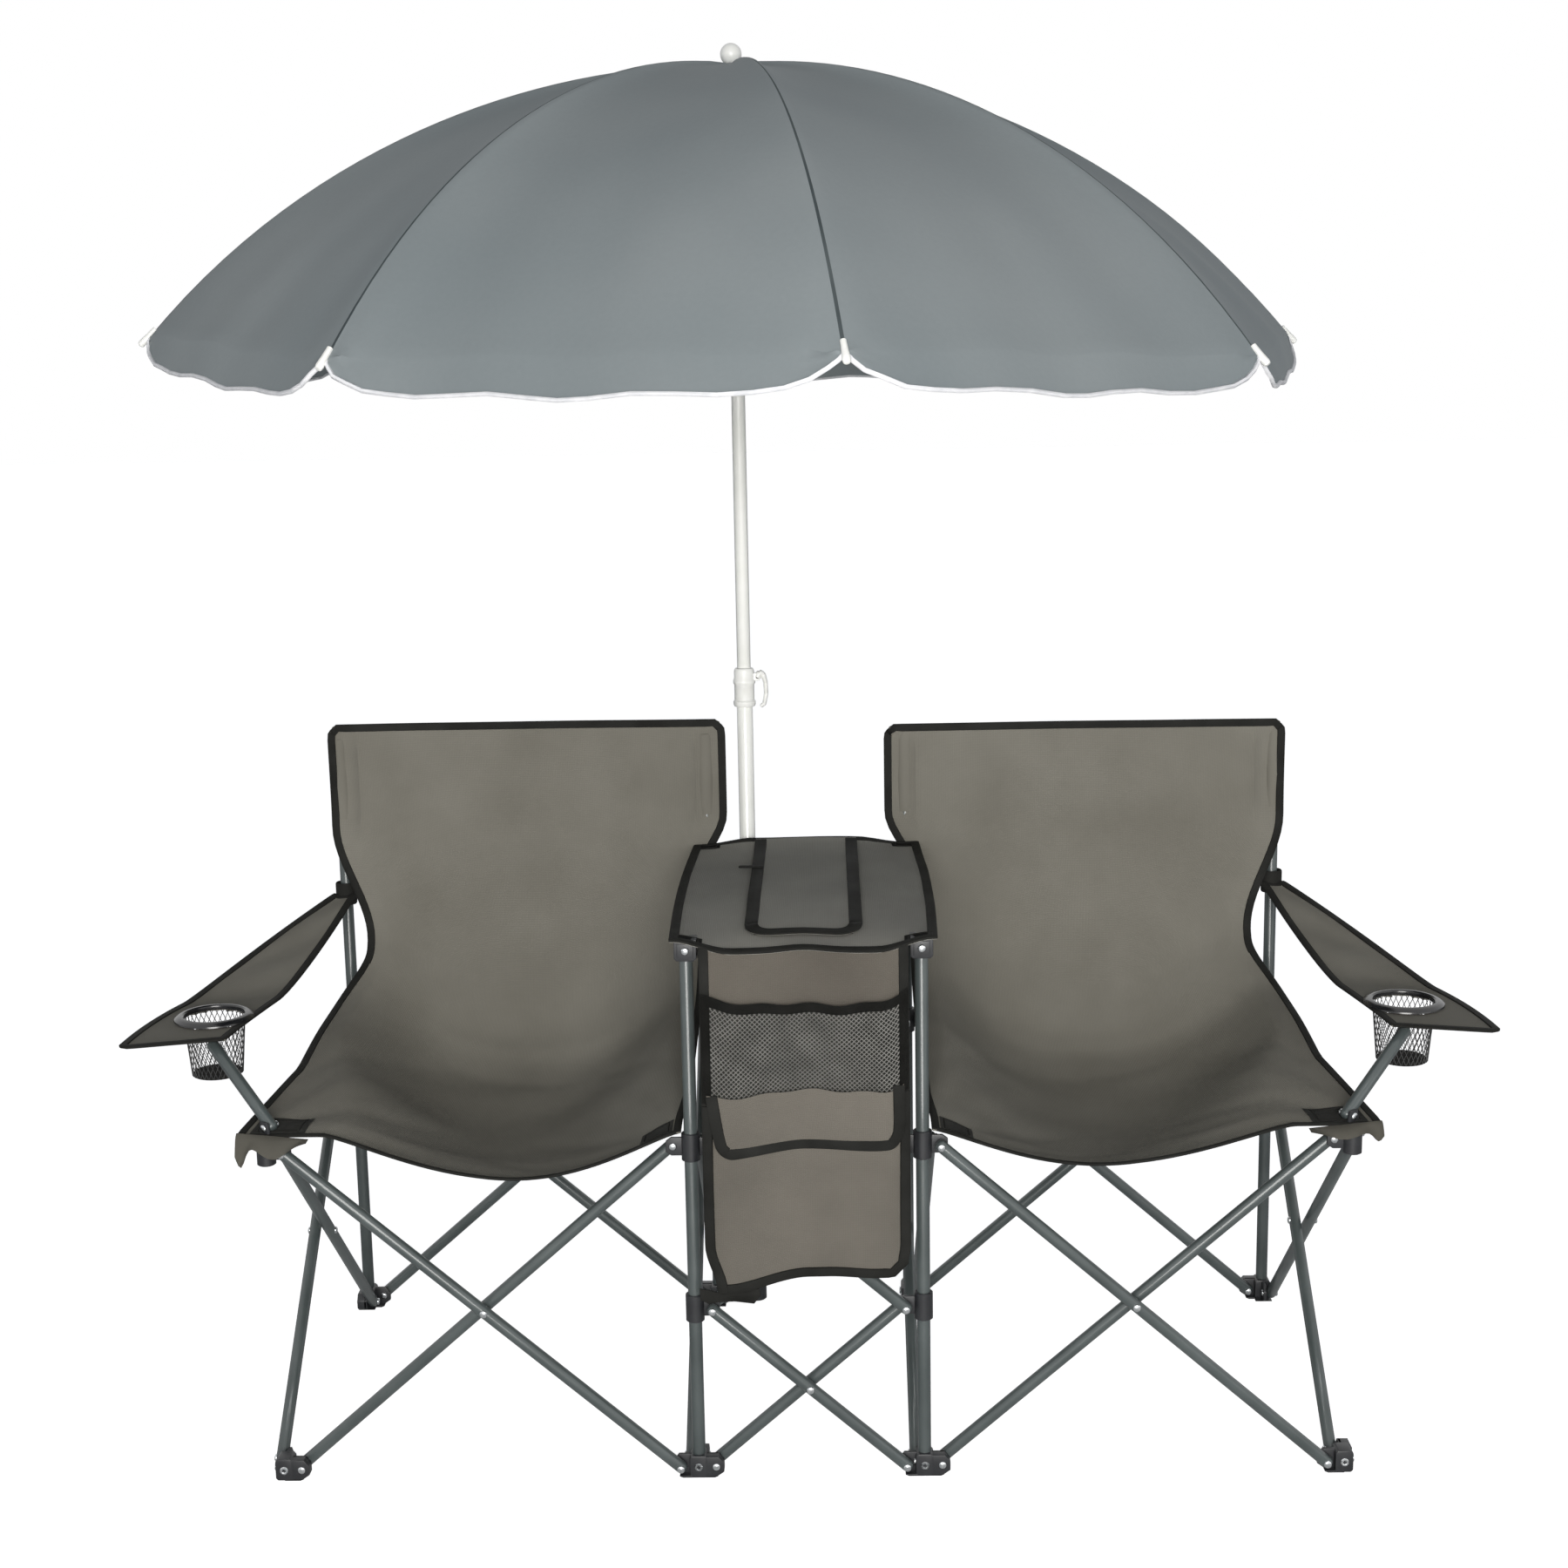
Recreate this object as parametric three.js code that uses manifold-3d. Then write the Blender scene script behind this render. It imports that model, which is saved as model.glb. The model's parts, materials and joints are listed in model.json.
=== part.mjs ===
// A folding camping loveseat: two quad chairs, a cooler table between them and a parasol on a pole.
// Millimetres, +Z up, the front faces -Y. The origin is on the floor, under the middle of the box round it.
import * as THREE from "three";
import { mergeVertices } from "three/addons/utils/BufferGeometryUtils.js";
import Module from "manifold-3d";

const wasm = await Module();
wasm.setup();

// Driving dimensions of the frame
const scissorSpan = 434; // between the two foot rivets of a chair's scissor, as it stands open
const scissorRise = 380; // from a foot rivet up to the seat hub's rivet
const stageShare = 1 / 2; // the centre has two small scissors, one on the other, for each chair's one
const earReach = 20; // from a post's axis to the rivets beside it
const footRivetHeight = 13;
const tubeDiameter = 14;
const tubeOverhang = 6; // of a tube past its end rivet
const postDiameter = 15;
const earThickness = 4;
const runningGap = 0.3;
const rivetDiameter = 5;
const rivetClearance = 0.4; // round a rivet's shank, in the tube that turns on it
const rivetHeadDiameter = 10;
const rivetHeadThickness = 2;

// Driving dimensions of the feet, hubs and posts
const soleThickness = 2.2;
const socketWall = 3;
const socketHeight = 27;
const earHeight = 24;
const earBeyond = 9; // of an ear past its rivet
const hubHeight = 32;
const hubEarHeight = 21;
const rearPostTop = 785;
const frontPostBelowTable = 23;
const bracketWidth = 25;
const bracketHeight = 24;

// Driving dimensions of the arms
const armPostLength = 128;
const armPostLift = 38; // degrees above level, as the chair stands open
const armPostYaw = 38; // degrees, back from straight out sideways
const armPivotRise = 26; // above the hub's rivets
const armFrontY = 56; // of the front edge at its inner end
const armTipY = 26; // of the front edge at its outer end
const armFrontHeight = 505;
const armRearHeight = 575;
const armFrontOuterX = 770;
const armFrontInnerX = 656;
const armRearWidth = 30;
const armThickness = 3;
const cupX = 690;
const cupY = 137;
const cupMouthDiameter = 69;
const cupBottomDiameter = 58;
const cupDepth = 66;
const cupRingDiameter = 92;
const cupRingThickness = 4;
const cupWall = 2;

// Driving dimensions of the seat slings
const slingThickness = 3;
const slingTop = 788;
const slingSeam = 18; // of the back past the axis of each rear post
const slingWaist = 32; // of the outer edge inside its post, at the height of the arm
const slingWaistHeight = 545;
const slingInnerWaist = 15;
const slingInnerWaistHeight = 645;
const seatOverhang = 30; // of the seat past the outer hub's axis, at the front corner
const seatInset = 16; // of the seat's inner edge from the inner posts' axis
const seatCornerRise = 19; // of the front corners above the hub's rivets
const seatSag = 52; // of the front hem between its corners
const seatDip = 70; // of the seat's middle below its side edges
const seatRearLift = 56; // of the seat's side edges, from the front corners to the back
const sleeveWall = 2.4;
const sleeveBottom = 672;

// Driving dimensions of the cooler table and the organiser
const tableHeight = 635;
const tableThickness = 3;
const tableSideOverhang = 16;
const tableFrontOverhang = 22;
const lidWidth = 128;
const lidFrontY = 12;
const lidRearY = 448;
const lidLap = 10; // of the lid over the rim of its opening
const coolerWidth = 182;
const coolerDepth = 200;
const coolerWall = 3;
const organiserWidth = 226;
const organiserTop = 631.5;
const organiserBottom = 229;
const organiserSheet = 2.6;
const pocketGap = 7;
const meshPocketTop = 572;
const meshPocketBottom = 464;
const lowerPocketTop = 452;
const pocketFlapTop = 467;
const pocketFlapBottom = 402;

// Driving dimensions of the parasol
const poleOffsetX = 52; // from the left chair's inner rear post
const poleOffsetY = 10;
const lowerPoleDiameter = 20.4;
const upperPoleDiameter = 17.4;
const poleWall = 1.2;
const poleSlideGap = 0.3;
const lowerPoleTop = 842;
const upperPoleBottom = 650;
const collarBottom = 812;
const collarTop = 862;
const collarDiameter = 26;
const canopyApex = 1606;
const canopyRimHeight = 1285;
const canopyRimRadius = 706;
const canopyThickness = 1.5;
const canopyPanels = 8;
const canopyTurn = 10; // degrees, of the front rib to the right of straight ahead
const valanceDrop = 62;
const ribDiameter = 5;
const ribReachShare = 0.99; // of the way to the canopy's rim
const runnerHeight = 1352;
const stretcherDiameter = 4;
const stretcherReachShare = 0.5;
const finialDiameter = 27;

// Sizes that follow from the driving ones
const tubeRadius = tubeDiameter / 2;
const postRadius = postDiameter / 2;
const socketRadius = postRadius + socketWall;
const tubeOffset = earThickness / 2 + runningGap + tubeRadius;
const scissorLength = Math.hypot(scissorSpan, scissorRise);
const restAngle = Math.atan2(scissorRise, scissorSpan);
const hubRivetHeight = footRivetHeight + scissorRise;
const midHubRivetHeight = footRivetHeight + scissorRise * stageShare;
const chairWidth = scissorSpan + 2 * earReach;
const centreWidth = scissorSpan * stageShare + 2 * earReach;
const innerX = centreWidth / 2;
const outerX = innerX + chairWidth;
const rearY = chairWidth;
const hubTop = hubRivetHeight + hubHeight / 2;
const roundSides = 12;
const rivetSides = 8;
const overrun = 5; // of every cutting tool past what it cuts

const steel = new THREE.MeshStandardMaterial({ color: 0x5c6463, roughness: 0.38, metalness: 0.55 });
const blackPlastic = new THREE.MeshStandardMaterial({ color: 0x2a2b2e, roughness: 0.5, metalness: 0 });
const greyCloth = new THREE.MeshStandardMaterial({ color: 0x7a766c, roughness: 0.9, metalness: 0 });
const panelCloth = new THREE.MeshStandardMaterial({ color: 0x817c72, roughness: 0.9, metalness: 0 });
const tableCloth = new THREE.MeshStandardMaterial({ color: 0x5c5b56, roughness: 0.9, metalness: 0 });
const netPlastic = new THREE.MeshStandardMaterial({ color: 0x38383a, roughness: 0.6, metalness: 0 });
const whiteEnamel = new THREE.MeshStandardMaterial({ color: 0xeceee6, roughness: 0.35, metalness: 0.1 });
const whitePlastic = new THREE.MeshStandardMaterial({ color: 0xf0f0ea, roughness: 0.45, metalness: 0 });
const canopyCloth = new THREE.MeshStandardMaterial({ color: 0x6f7779, roughness: 0.6, metalness: 0 });

const loveseat = new THREE.Group();

function addMesh(parent, name, geometry, material) {
  const mesh = new THREE.Mesh(geometry, material);
  mesh.name = name;
  parent.add(mesh);
  return mesh;
}

// A closed geometry as a manifold-3d solid, and back.
function solidOf(geometry) {
  const bare = geometry.index ? geometry.toNonIndexed() : geometry.clone();
  bare.deleteAttribute("normal");
  bare.deleteAttribute("uv");
  const merged = mergeVertices(bare);
  return new wasm.Manifold(
    new wasm.Mesh({
      numProp: 3,
      vertProperties: new Float32Array(merged.attributes.position.array),
      triVerts: new Uint32Array(merged.index.array),
    }),
  );
}

function geometryOf(solid) {
  const mesh = solid.getMesh();
  const places = new Float32Array(mesh.numVert * 3);
  for (let i = 0; i < mesh.numVert; i += 1) {
    places.set(mesh.vertProperties.subarray(i * mesh.numProp, i * mesh.numProp + 3), i * 3);
  }
  const geometry = new THREE.BufferGeometry();
  geometry.setAttribute("position", new THREE.BufferAttribute(places, 3));
  geometry.setIndex(new THREE.BufferAttribute(mesh.triVerts, 1));
  geometry.computeVertexNormals();
  return geometry;
}

const join = (pieces) => pieces.reduce((whole, piece) => whole.add(piece));
const cut = (whole, tools) => tools.reduce((rest, tool) => rest.subtract(tool), whole);

function block(xFrom, xTo, yFrom, yTo, zFrom, zTo) {
  const geometry = new THREE.BoxGeometry(xTo - xFrom, yTo - yFrom, zTo - zFrom);
  geometry.translate((xFrom + xTo) / 2, (yFrom + yTo) / 2, (zFrom + zTo) / 2);
  return solidOf(geometry);
}

// A round bar that stands on (x, y) from zFrom to zTo.
function upright(radius, zFrom, zTo, x = 0, y = 0, sides = roundSides) {
  const geometry = new THREE.CylinderGeometry(radius, radius, zTo - zFrom, sides);
  geometry.rotateX(Math.PI / 2);
  geometry.translate(x, y, (zFrom + zTo) / 2);
  return solidOf(geometry);
}

// A round bar along Y, through (x, z).
function crossBar(radius, yFrom, yTo, x, z, sides = rivetSides) {
  const geometry = new THREE.CylinderGeometry(radius, radius, yTo - yFrom, sides);
  geometry.translate(x, (yFrom + yTo) / 2, z);
  return solidOf(geometry);
}

// A round bar between two points.
function barBetween(from, to, radius, sides = rivetSides) {
  const run = new THREE.Vector3().subVectors(to, from);
  const geometry = new THREE.CylinderGeometry(radius, radius, run.length(), sides);
  const turn = new THREE.Quaternion().setFromUnitVectors(
    new THREE.Vector3(0, 1, 0),
    run.clone().normalize(),
  );
  geometry.applyQuaternion(turn);
  geometry.translate((from.x + to.x) / 2, (from.y + to.y) / 2, (from.z + to.z) / 2);
  return solidOf(geometry);
}

// A round rod along a line of points in the XZ plane.
function rodAlong(points, radius, sides) {
  const ring = [];
  for (let i = 0; i < sides; i += 1) {
    const angle = (i / sides) * 2 * Math.PI;
    ring.push(new THREE.Vector2(Math.cos(angle) * radius, Math.sin(angle) * radius));
  }
  const curve = new THREE.CatmullRomCurve3(points, false, "centripetal");
  const geometry = new THREE.ExtrudeGeometry(new THREE.Shape(ring), {
    steps: points.length - 1,
    extrudePath: curve,
    bevelEnabled: false,
  });
  return solidOf(geometry);
}

function turned(solid, degrees) {
  return solid.rotate([0, 0, degrees]);
}

// A sheet with a thickness, over a grid of points: middle(u, v) gives the middle surface, u and v from 0 to 1.
function sheet(middle, columns, rows, thickness) {
  const step = 0.5 / Math.max(columns, rows);
  const places = [];
  for (const side of [1, -1]) {
    for (let row = 0; row <= rows; row += 1) {
      for (let column = 0; column <= columns; column += 1) {
        const u = column / columns;
        const v = row / rows;
        const along = middle(Math.min(u + step, 1), v).sub(middle(Math.max(u - step, 0), v));
        const across = middle(u, Math.min(v + step, 1)).sub(middle(u, Math.max(v - step, 0)));
        const normal = along.cross(across).normalize();
        places.push(middle(u, v).addScaledVector(normal, (side * thickness) / 2));
      }
    }
  }
  const wide = columns + 1;
  const under = wide * (rows + 1);
  const faces = [];
  const quad = (a, b, c, d) => faces.push(a, b, c, a, c, d);
  for (let row = 0; row < rows; row += 1) {
    for (let column = 0; column < columns; column += 1) {
      const a = row * wide + column;
      quad(a, a + 1, a + 1 + wide, a + wide);
      quad(a + under, a + wide + under, a + 1 + wide + under, a + 1 + under);
    }
  }
  for (let column = 0; column < columns; column += 1) {
    const near = column;
    const far = rows * wide + column;
    quad(near + under, near + 1 + under, near + 1, near);
    quad(far, far + 1, far + 1 + under, far + under);
  }
  for (let row = 0; row < rows; row += 1) {
    const left = row * wide;
    const right = left + columns;
    quad(left, left + wide, left + wide + under, left + under);
    quad(right + under, right + wide + under, right + wide, right);
  }
  const geometry = new THREE.BufferGeometry();
  geometry.setAttribute(
    "position",
    new THREE.BufferAttribute(new Float32Array(places.flatMap((p) => [p.x, p.y, p.z])), 3),
  );
  geometry.setIndex(faces);
  geometry.computeVertexNormals();
  return geometry;
}

// Every side of a chair is one scissor, drawn as it is seen from outside: X runs to the right, Y runs inwards.
// The falling tube, from the upper left to the lower right, lies outside the ears, and the rising tube inside.
function scissorTube(length, carriesRivet) {
  const bar = upright(tubeRadius, -tubeOverhang, length + tubeOverhang);
  const holeRadius = rivetDiameter / 2 + rivetClearance;
  const holeAt = (z) => crossBar(holeRadius, -tubeRadius - overrun, tubeRadius + overrun, 0, z);
  if (!carriesRivet) return geometryOf(cut(bar, [holeAt(0), holeAt(length), holeAt(length / 2)]));
  const farSide = 2 * tubeOffset + tubeRadius + runningGap;
  const shank = crossBar(rivetDiameter / 2, 0, farSide + rivetHeadThickness, 0, length / 2);
  const farHead = crossBar(
    rivetHeadDiameter / 2,
    farSide,
    farSide + rivetHeadThickness,
    0,
    length / 2,
  );
  const nearHead = crossBar(
    rivetHeadDiameter / 2,
    -tubeRadius - rivetHeadThickness,
    0,
    0,
    length / 2,
  );
  return geometryOf(join([cut(bar, [holeAt(0), holeAt(length)]), shank, farHead, nearHead]));
}

// The scissor of one side, from the column at its left to the one at its right, both measured along X.
function addScissor(name, x, y, yaw, span, length, lift) {
  const side = new THREE.Group();
  side.position.set(x, y, lift);
  side.rotation.z = THREE.MathUtils.degToRad(yaw);
  loveseat.add(side);
  const lean = Math.PI / 2 - restAngle;
  const falling = addMesh(side, name + "_falling_tube", scissorTube(length, true), steel);
  falling.position.set(earReach + span, -tubeOffset, 0);
  falling.rotation.y = -lean;
  const rising = addMesh(side, name + "_rising_tube", scissorTube(length, false), steel);
  rising.position.set(earReach, tubeOffset, 0);
  rising.rotation.y = lean;
}

// One ear of a foot or hub, with its rivet. toRight tells which way it points in its side's own view, and
// outside and inside tell on which faces of it a tube turns.
function ear({ yaw, toRight, outside, inside }, rivetHeight, outline) {
  const way = toRight ? 1 : -1;
  const shape = new THREE.Shape(outline.map(([x, z]) => new THREE.Vector2(way * x, z)));
  const plate = new THREE.ExtrudeGeometry(shape, { depth: earThickness, bevelEnabled: false });
  plate.rotateX(Math.PI / 2);
  plate.translate(0, earThickness / 2, 0);
  const bare = earThickness / 2;
  const pastTube = tubeOffset + tubeRadius + runningGap;
  const yFrom = outside ? -pastTube - rivetHeadThickness : -bare - rivetHeadThickness;
  const yTo = inside ? pastTube + rivetHeadThickness : bare + rivetHeadThickness;
  const x = way * earReach;
  const head = rivetHeadDiameter / 2;
  const pieces = [
    solidOf(plate),
    crossBar(rivetDiameter / 2, yFrom, yTo, x, rivetHeight),
    crossBar(head, yFrom, yFrom + rivetHeadThickness, x, rivetHeight),
    crossBar(head, yTo - rivetHeadThickness, yTo, x, rivetHeight),
  ];
  return turned(join(pieces), yaw);
}

// The sole under one ear and its tubes.
function soleUnder({ yaw, toRight, outside, inside }) {
  const reach = earReach + earBeyond;
  const tubeSide = tubeOffset + tubeRadius;
  const bareSide = socketRadius;
  return turned(
    block(
      toRight ? 0 : -reach,
      toRight ? reach : 0,
      outside ? -tubeSide : -bareSide,
      inside ? tubeSide : bareSide,
      0,
      soleThickness,
    ),
    yaw,
  );
}

const footEarOutline = [
  [0, 0],
  [earReach + earBeyond, 0],
  [earReach + earBeyond, footRivetHeight],
  [earReach, earHeight],
  [0, earHeight],
];

// A moulded foot: a sole, a socket for the post, and an ear for each scissor that ends here.
function foot(ears, hasPost, extra = []) {
  const middle = upright(socketRadius, 0, hasPost ? socketHeight : earHeight);
  const body = join([
    middle,
    ...ears.map(soleUnder),
    ...ears.map((each) => ear(each, footRivetHeight, footEarOutline)),
    ...extra,
  ]);
  if (!hasPost) return body;
  return cut(body, [upright(postRadius + runningGap, soleThickness, socketHeight + overrun)]);
}

const hubEarOutline = [
  [0, -hubEarHeight / 2],
  [earReach, -hubEarHeight / 2],
  [earReach + earBeyond, -hubEarHeight / 4],
  [earReach + earBeyond, hubEarHeight / 4],
  [earReach, hubEarHeight / 2],
  [0, hubEarHeight / 2],
];

// A moulded hub, level with its own rivets: a sleeve that slides on the post, or a solid block without one.
function hub(ears, hasPost, extra = []) {
  const body = join([
    upright(socketRadius, -hubHeight / 2, hubHeight / 2),
    ...ears.map((each) => ear(each, 0, hubEarOutline)),
    ...extra,
  ]);
  if (!hasPost) return body;
  const bore = upright(
    postRadius + runningGap + runningGap / 2,
    -hubHeight / 2 - overrun,
    hubHeight / 2 + overrun,
  );
  return cut(body, [bore]);
}

// The ears of a chair's four corners, front left first and then anticlockwise from above.
const cornerYaws = [0, 90, 180, -90];
const footEarsOf = (corner) => [
  { yaw: cornerYaws[corner], toRight: true, outside: false, inside: true },
  { yaw: cornerYaws[(corner + 3) % 4], toRight: false, outside: true, inside: false },
];
const hubEarsOf = (corner) => [
  { yaw: cornerYaws[corner], toRight: true, outside: true, inside: false },
  { yaw: cornerYaws[(corner + 3) % 4], toRight: false, outside: false, inside: true },
];

const chairs = [
  {
    name: "left",
    side: -1,
    corners: [
      { name: "outer_front", x: -outerX, y: 0, post: false },
      { name: "inner_front", x: -innerX, y: 0, post: true },
      { name: "inner_rear", x: -innerX, y: rearY, post: true },
      { name: "outer_rear", x: -outerX, y: rearY, post: true },
    ],
    sides: ["front", "inner_side", "rear", "outer_side"],
  },
  {
    name: "right",
    side: 1,
    corners: [
      { name: "inner_front", x: innerX, y: 0, post: true },
      { name: "outer_front", x: outerX, y: 0, post: false },
      { name: "outer_rear", x: outerX, y: rearY, post: true },
      { name: "inner_rear", x: innerX, y: rearY, post: true },
    ],
    sides: ["front", "outer_side", "rear", "inner_side"],
  },
];

// The cup in the left chair's inner rear foot, which the pole stands in.
const poleX = -innerX + poleOffsetX;
const poleY = rearY + poleOffsetY;
const lowerPoleRadius = lowerPoleDiameter / 2;
const cupWallOfPole = 2.2;
const poleCupHeight = 40;
const poleCupRadius = lowerPoleRadius + runningGap + cupWallOfPole;

function poleCup() {
  const x = poleOffsetX;
  const y = poleOffsetY;
  return join([
    upright(poleCupRadius, 0, poleCupHeight, x, y),
    block(0, x, -socketWall, y, 0, earHeight),
  ]);
}

function withPoleBore(body) {
  const bore = upright(
    lowerPoleRadius + runningGap,
    soleThickness,
    poleCupHeight + overrun,
    poleOffsetX,
    poleOffsetY,
  );
  const socketBore = upright(postRadius + runningGap, soleThickness, socketHeight + overrun);
  return cut(body, [bore, socketBore]);
}

// The clip on the same post, just under the table, which steadies the pole.
const poleClipBottom = 606;
const poleClipTop = 622;

function poleClip() {
  const ring = upright(poleCupRadius, poleClipBottom, poleClipTop, poleOffsetX, poleOffsetY);
  const collar = upright(socketRadius, poleClipBottom, poleClipTop);
  const arm = block(0, poleOffsetX, -socketWall, poleOffsetY, poleClipBottom, poleClipTop);
  const bore = upright(
    lowerPoleRadius + runningGap,
    poleClipBottom - overrun,
    poleClipTop + overrun,
    poleOffsetX,
    poleOffsetY,
  );
  return cut(join([ring, collar, arm]), [bore]);
}

// The plastic bracket on an inner front post, which carries the table's front corner.
function tableBracket() {
  const half = bracketWidth / 2;
  const top = tableHeight - tableThickness - runningGap;
  const head = crossBar(
    rivetHeadDiameter / 2,
    -half - rivetHeadThickness,
    -half + overrun,
    0,
    top - bracketHeight / 2,
  );
  return join([block(-half, half, -half, half, top - bracketHeight, top), head]);
}

function addPost(name, corner) {
  const isRear = corner.y > 0;
  const top = isRear ? rearPostTop : tableHeight - frontPostBelowTable;
  let post = upright(postRadius, soleThickness + runningGap, top);
  if (!isRear) post = join([post, tableBracket()]);
  if (name === "left_inner_rear") post = join([post, poleClip()]);
  const mesh = addMesh(loveseat, name + "_post", geometryOf(post), steel);
  mesh.position.set(corner.x, corner.y, 0);
}

// The lug on an outer front hub, which the arm post turns on, and the arm post itself.
const armLugHalf = rivetHeadDiameter;
const armLugTop = armPivotRise + rivetHeadDiameter / 2 + rivetHeadThickness;
const armLugBottom = hubHeight / 2 - earThickness;
const armEarOutline = [
  [-armLugHalf, armLugBottom],
  [armLugHalf, armLugBottom],
  [armLugHalf / 2, armLugTop],
  [-armLugHalf / 2, armLugTop],
];

function armLug(side) {
  const shape = new THREE.Shape(armEarOutline.map(([x, z]) => new THREE.Vector2(x, z)));
  const plate = new THREE.ExtrudeGeometry(shape, { depth: earThickness, bevelEnabled: false });
  plate.rotateX(Math.PI / 2);
  plate.translate(0, earThickness / 2, 0);
  const pastTube = tubeOffset + tubeRadius + runningGap;
  const far = pastTube + rivetHeadThickness;
  const head = rivetHeadDiameter / 2;
  const bare = -earThickness / 2 - rivetHeadThickness;
  const lug = turned(
    join([
      solidOf(plate),
      crossBar(rivetDiameter / 2, bare, far, 0, armPivotRise),
      crossBar(head, pastTube, far, 0, armPivotRise),
      crossBar(head, bare, -earThickness / 2, 0, armPivotRise),
    ]),
    armPostYaw,
  );
  return side > 0 ? lug : lug.mirror([1, 0, 0]);
}

const armPostTurn = (side) => THREE.MathUtils.degToRad(side > 0 ? armPostYaw : 180 - armPostYaw);

function addArmPost(chair, corner) {
  const hole = crossBar(
    rivetDiameter / 2 + rivetClearance,
    -tubeRadius - overrun,
    tubeRadius + overrun,
    0,
    0,
  );
  const bar = upright(tubeRadius, -tubeOverhang, armPostLength);
  const holder = new THREE.Group();
  holder.position.set(corner.x, corner.y, hubRivetHeight + armPivotRise);
  holder.rotation.z = armPostTurn(chair.side);
  loveseat.add(holder);
  const post = addMesh(holder, chair.name + "_arm_post", geometryOf(cut(bar, [hole])), steel);
  post.position.set(0, chair.side * tubeOffset, 0);
  post.rotation.y = THREE.MathUtils.degToRad(90 - armPostLift);
}

const centreFootEar = { left: { yaw: 0, toRight: true, outside: false, inside: true } };
centreFootEar.right = { yaw: 0, toRight: false, outside: true, inside: false };
const centreHubEar = { left: { yaw: 0, toRight: true, outside: true, inside: false } };
centreHubEar.right = { yaw: 0, toRight: false, outside: false, inside: true };

for (const chair of chairs) {
  chair.corners.forEach((corner, index) => {
    const name = chair.name + "_" + corner.name;
    const footEars = footEarsOf(index);
    const hubEars = hubEarsOf(index);
    if (corner.name === "inner_front") {
      footEars.push(centreFootEar[chair.name]);
      hubEars.push(centreHubEar[chair.name]);
    }
    let body = foot(footEars, corner.post);
    if (name === "left_inner_rear") body = withPoleBore(foot(footEars, false, [poleCup()]));
    const isOuterFront = corner.name === "outer_front";
    const upper = hub(hubEars, corner.post, isOuterFront ? [armLug(chair.side)] : []);
    addMesh(loveseat, name + "_foot", geometryOf(body), blackPlastic).position.set(
      corner.x,
      corner.y,
      0,
    );
    addMesh(loveseat, name + "_hub", geometryOf(upper), blackPlastic).position.set(
      corner.x,
      corner.y,
      hubRivetHeight,
    );
    if (corner.post) addPost(name, corner);
    if (isOuterFront) addArmPost(chair, corner);
    addScissor(
      name.split("_")[0] + "_" + chair.sides[index],
      corner.x,
      corner.y,
      cornerYaws[index],
      scissorSpan,
      scissorLength,
      footRivetHeight,
    );
  });
}

// The two small scissors between the chairs, and the sleeves that they share halfway up the front posts.
for (const [name, lift] of [
  ["centre_lower", footRivetHeight],
  ["centre_upper", midHubRivetHeight],
]) {
  addScissor(
    name,
    -innerX,
    0,
    0,
    scissorSpan * stageShare,
    scissorLength * stageShare,
    lift,
  );
}
for (const [name, x, toRight] of [
  ["left_mid_sleeve", -innerX, true],
  ["right_mid_sleeve", innerX, false],
]) {
  const shared = { yaw: 0, toRight, outside: true, inside: true };
  addMesh(loveseat, name, geometryOf(hub([shared], true)), blackPlastic).position.set(
    x,
    0,
    midHubRivetHeight,
  );
}

const mix = THREE.MathUtils.lerp;

// The seat sling of one chair: from the front hem back to the rear posts, and up to their tops.
// Each side edge and the middle have a profile of their own, and the cloth hangs as a curve between them.
const edgeShares = [ // of the depth, and of the rise to the back
  [0.25, 0.3],
  [0.55, 0.62],
  [0.82, 1],
  [0.93, 1.9],
];
const middleShares = [ // of the depth, and of the dip
  [0.25, 1],
  [0.6, 1],
  [0.84, 0.45],
];
const lumbarShare = 0.95; // of the depth, where the middle leaves the seat
const edgeProfile = new THREE.CatmullRomCurve3(
  [
    [-tubeRadius, seatCornerRise],
    ...edgeShares.map(([depth, lift]) => [rearY * depth, seatCornerRise + seatRearLift * lift]),
    [rearY - socketRadius, sleeveBottom - hubRivetHeight],
    [rearY - socketRadius, slingTop - hubRivetHeight],
  ].map(([y, z]) => new THREE.Vector3(0, y, hubRivetHeight + z)),
  false,
  "centripetal",
);
const middleProfile = new THREE.CatmullRomCurve3(
  [
    [-socketRadius, seatCornerRise - seatSag],
    ...middleShares.map(([depth, dip]) => [rearY * depth, seatCornerRise - seatDip * dip]),
    [rearY * lumbarShare, seatCornerRise + seatRearLift],
    [rearY, sleeveBottom - hubRivetHeight - seatRearLift],
    [rearY - tubeRadius, slingTop - hubRivetHeight],
  ].map(([y, z]) => new THREE.Vector3(0, y, hubRivetHeight + z)),
  false,
  "centripetal",
);
const seatCornerShare = 0.35; // of the depth, over which the pointed front corner narrows to the seat's width

// How far the sling's two edges lie from the chair's middle line, by depth and height.
function outerReach(point) {
  const half = chairWidth / 2;
  const fromCorner = THREE.MathUtils.clamp(point.y / (rearY * seatCornerShare), 0, 1);
  const seatEdge = half + mix(seatOverhang, 0, fromCorner);
  const low = hubRivetHeight + seatCornerRise + seatRearLift;
  const toWaist = THREE.MathUtils.smoothstep(point.z, low, slingWaistHeight);
  const toTop = THREE.MathUtils.smoothstep(point.z, slingWaistHeight, sleeveBottom);
  return mix(mix(seatEdge, half - slingWaist, toWaist), half + slingSeam, toTop);
}

function innerReach(point) {
  const half = chairWidth / 2;
  const low = hubRivetHeight + seatCornerRise + seatRearLift;
  const toWaist = THREE.MathUtils.smoothstep(point.z, low, slingInnerWaistHeight);
  const toTop = THREE.MathUtils.smoothstep(point.z, slingInnerWaistHeight, sleeveBottom);
  return mix(mix(half - seatInset, half - slingInnerWaist, toWaist), half + slingSeam, toTop);
}

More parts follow.
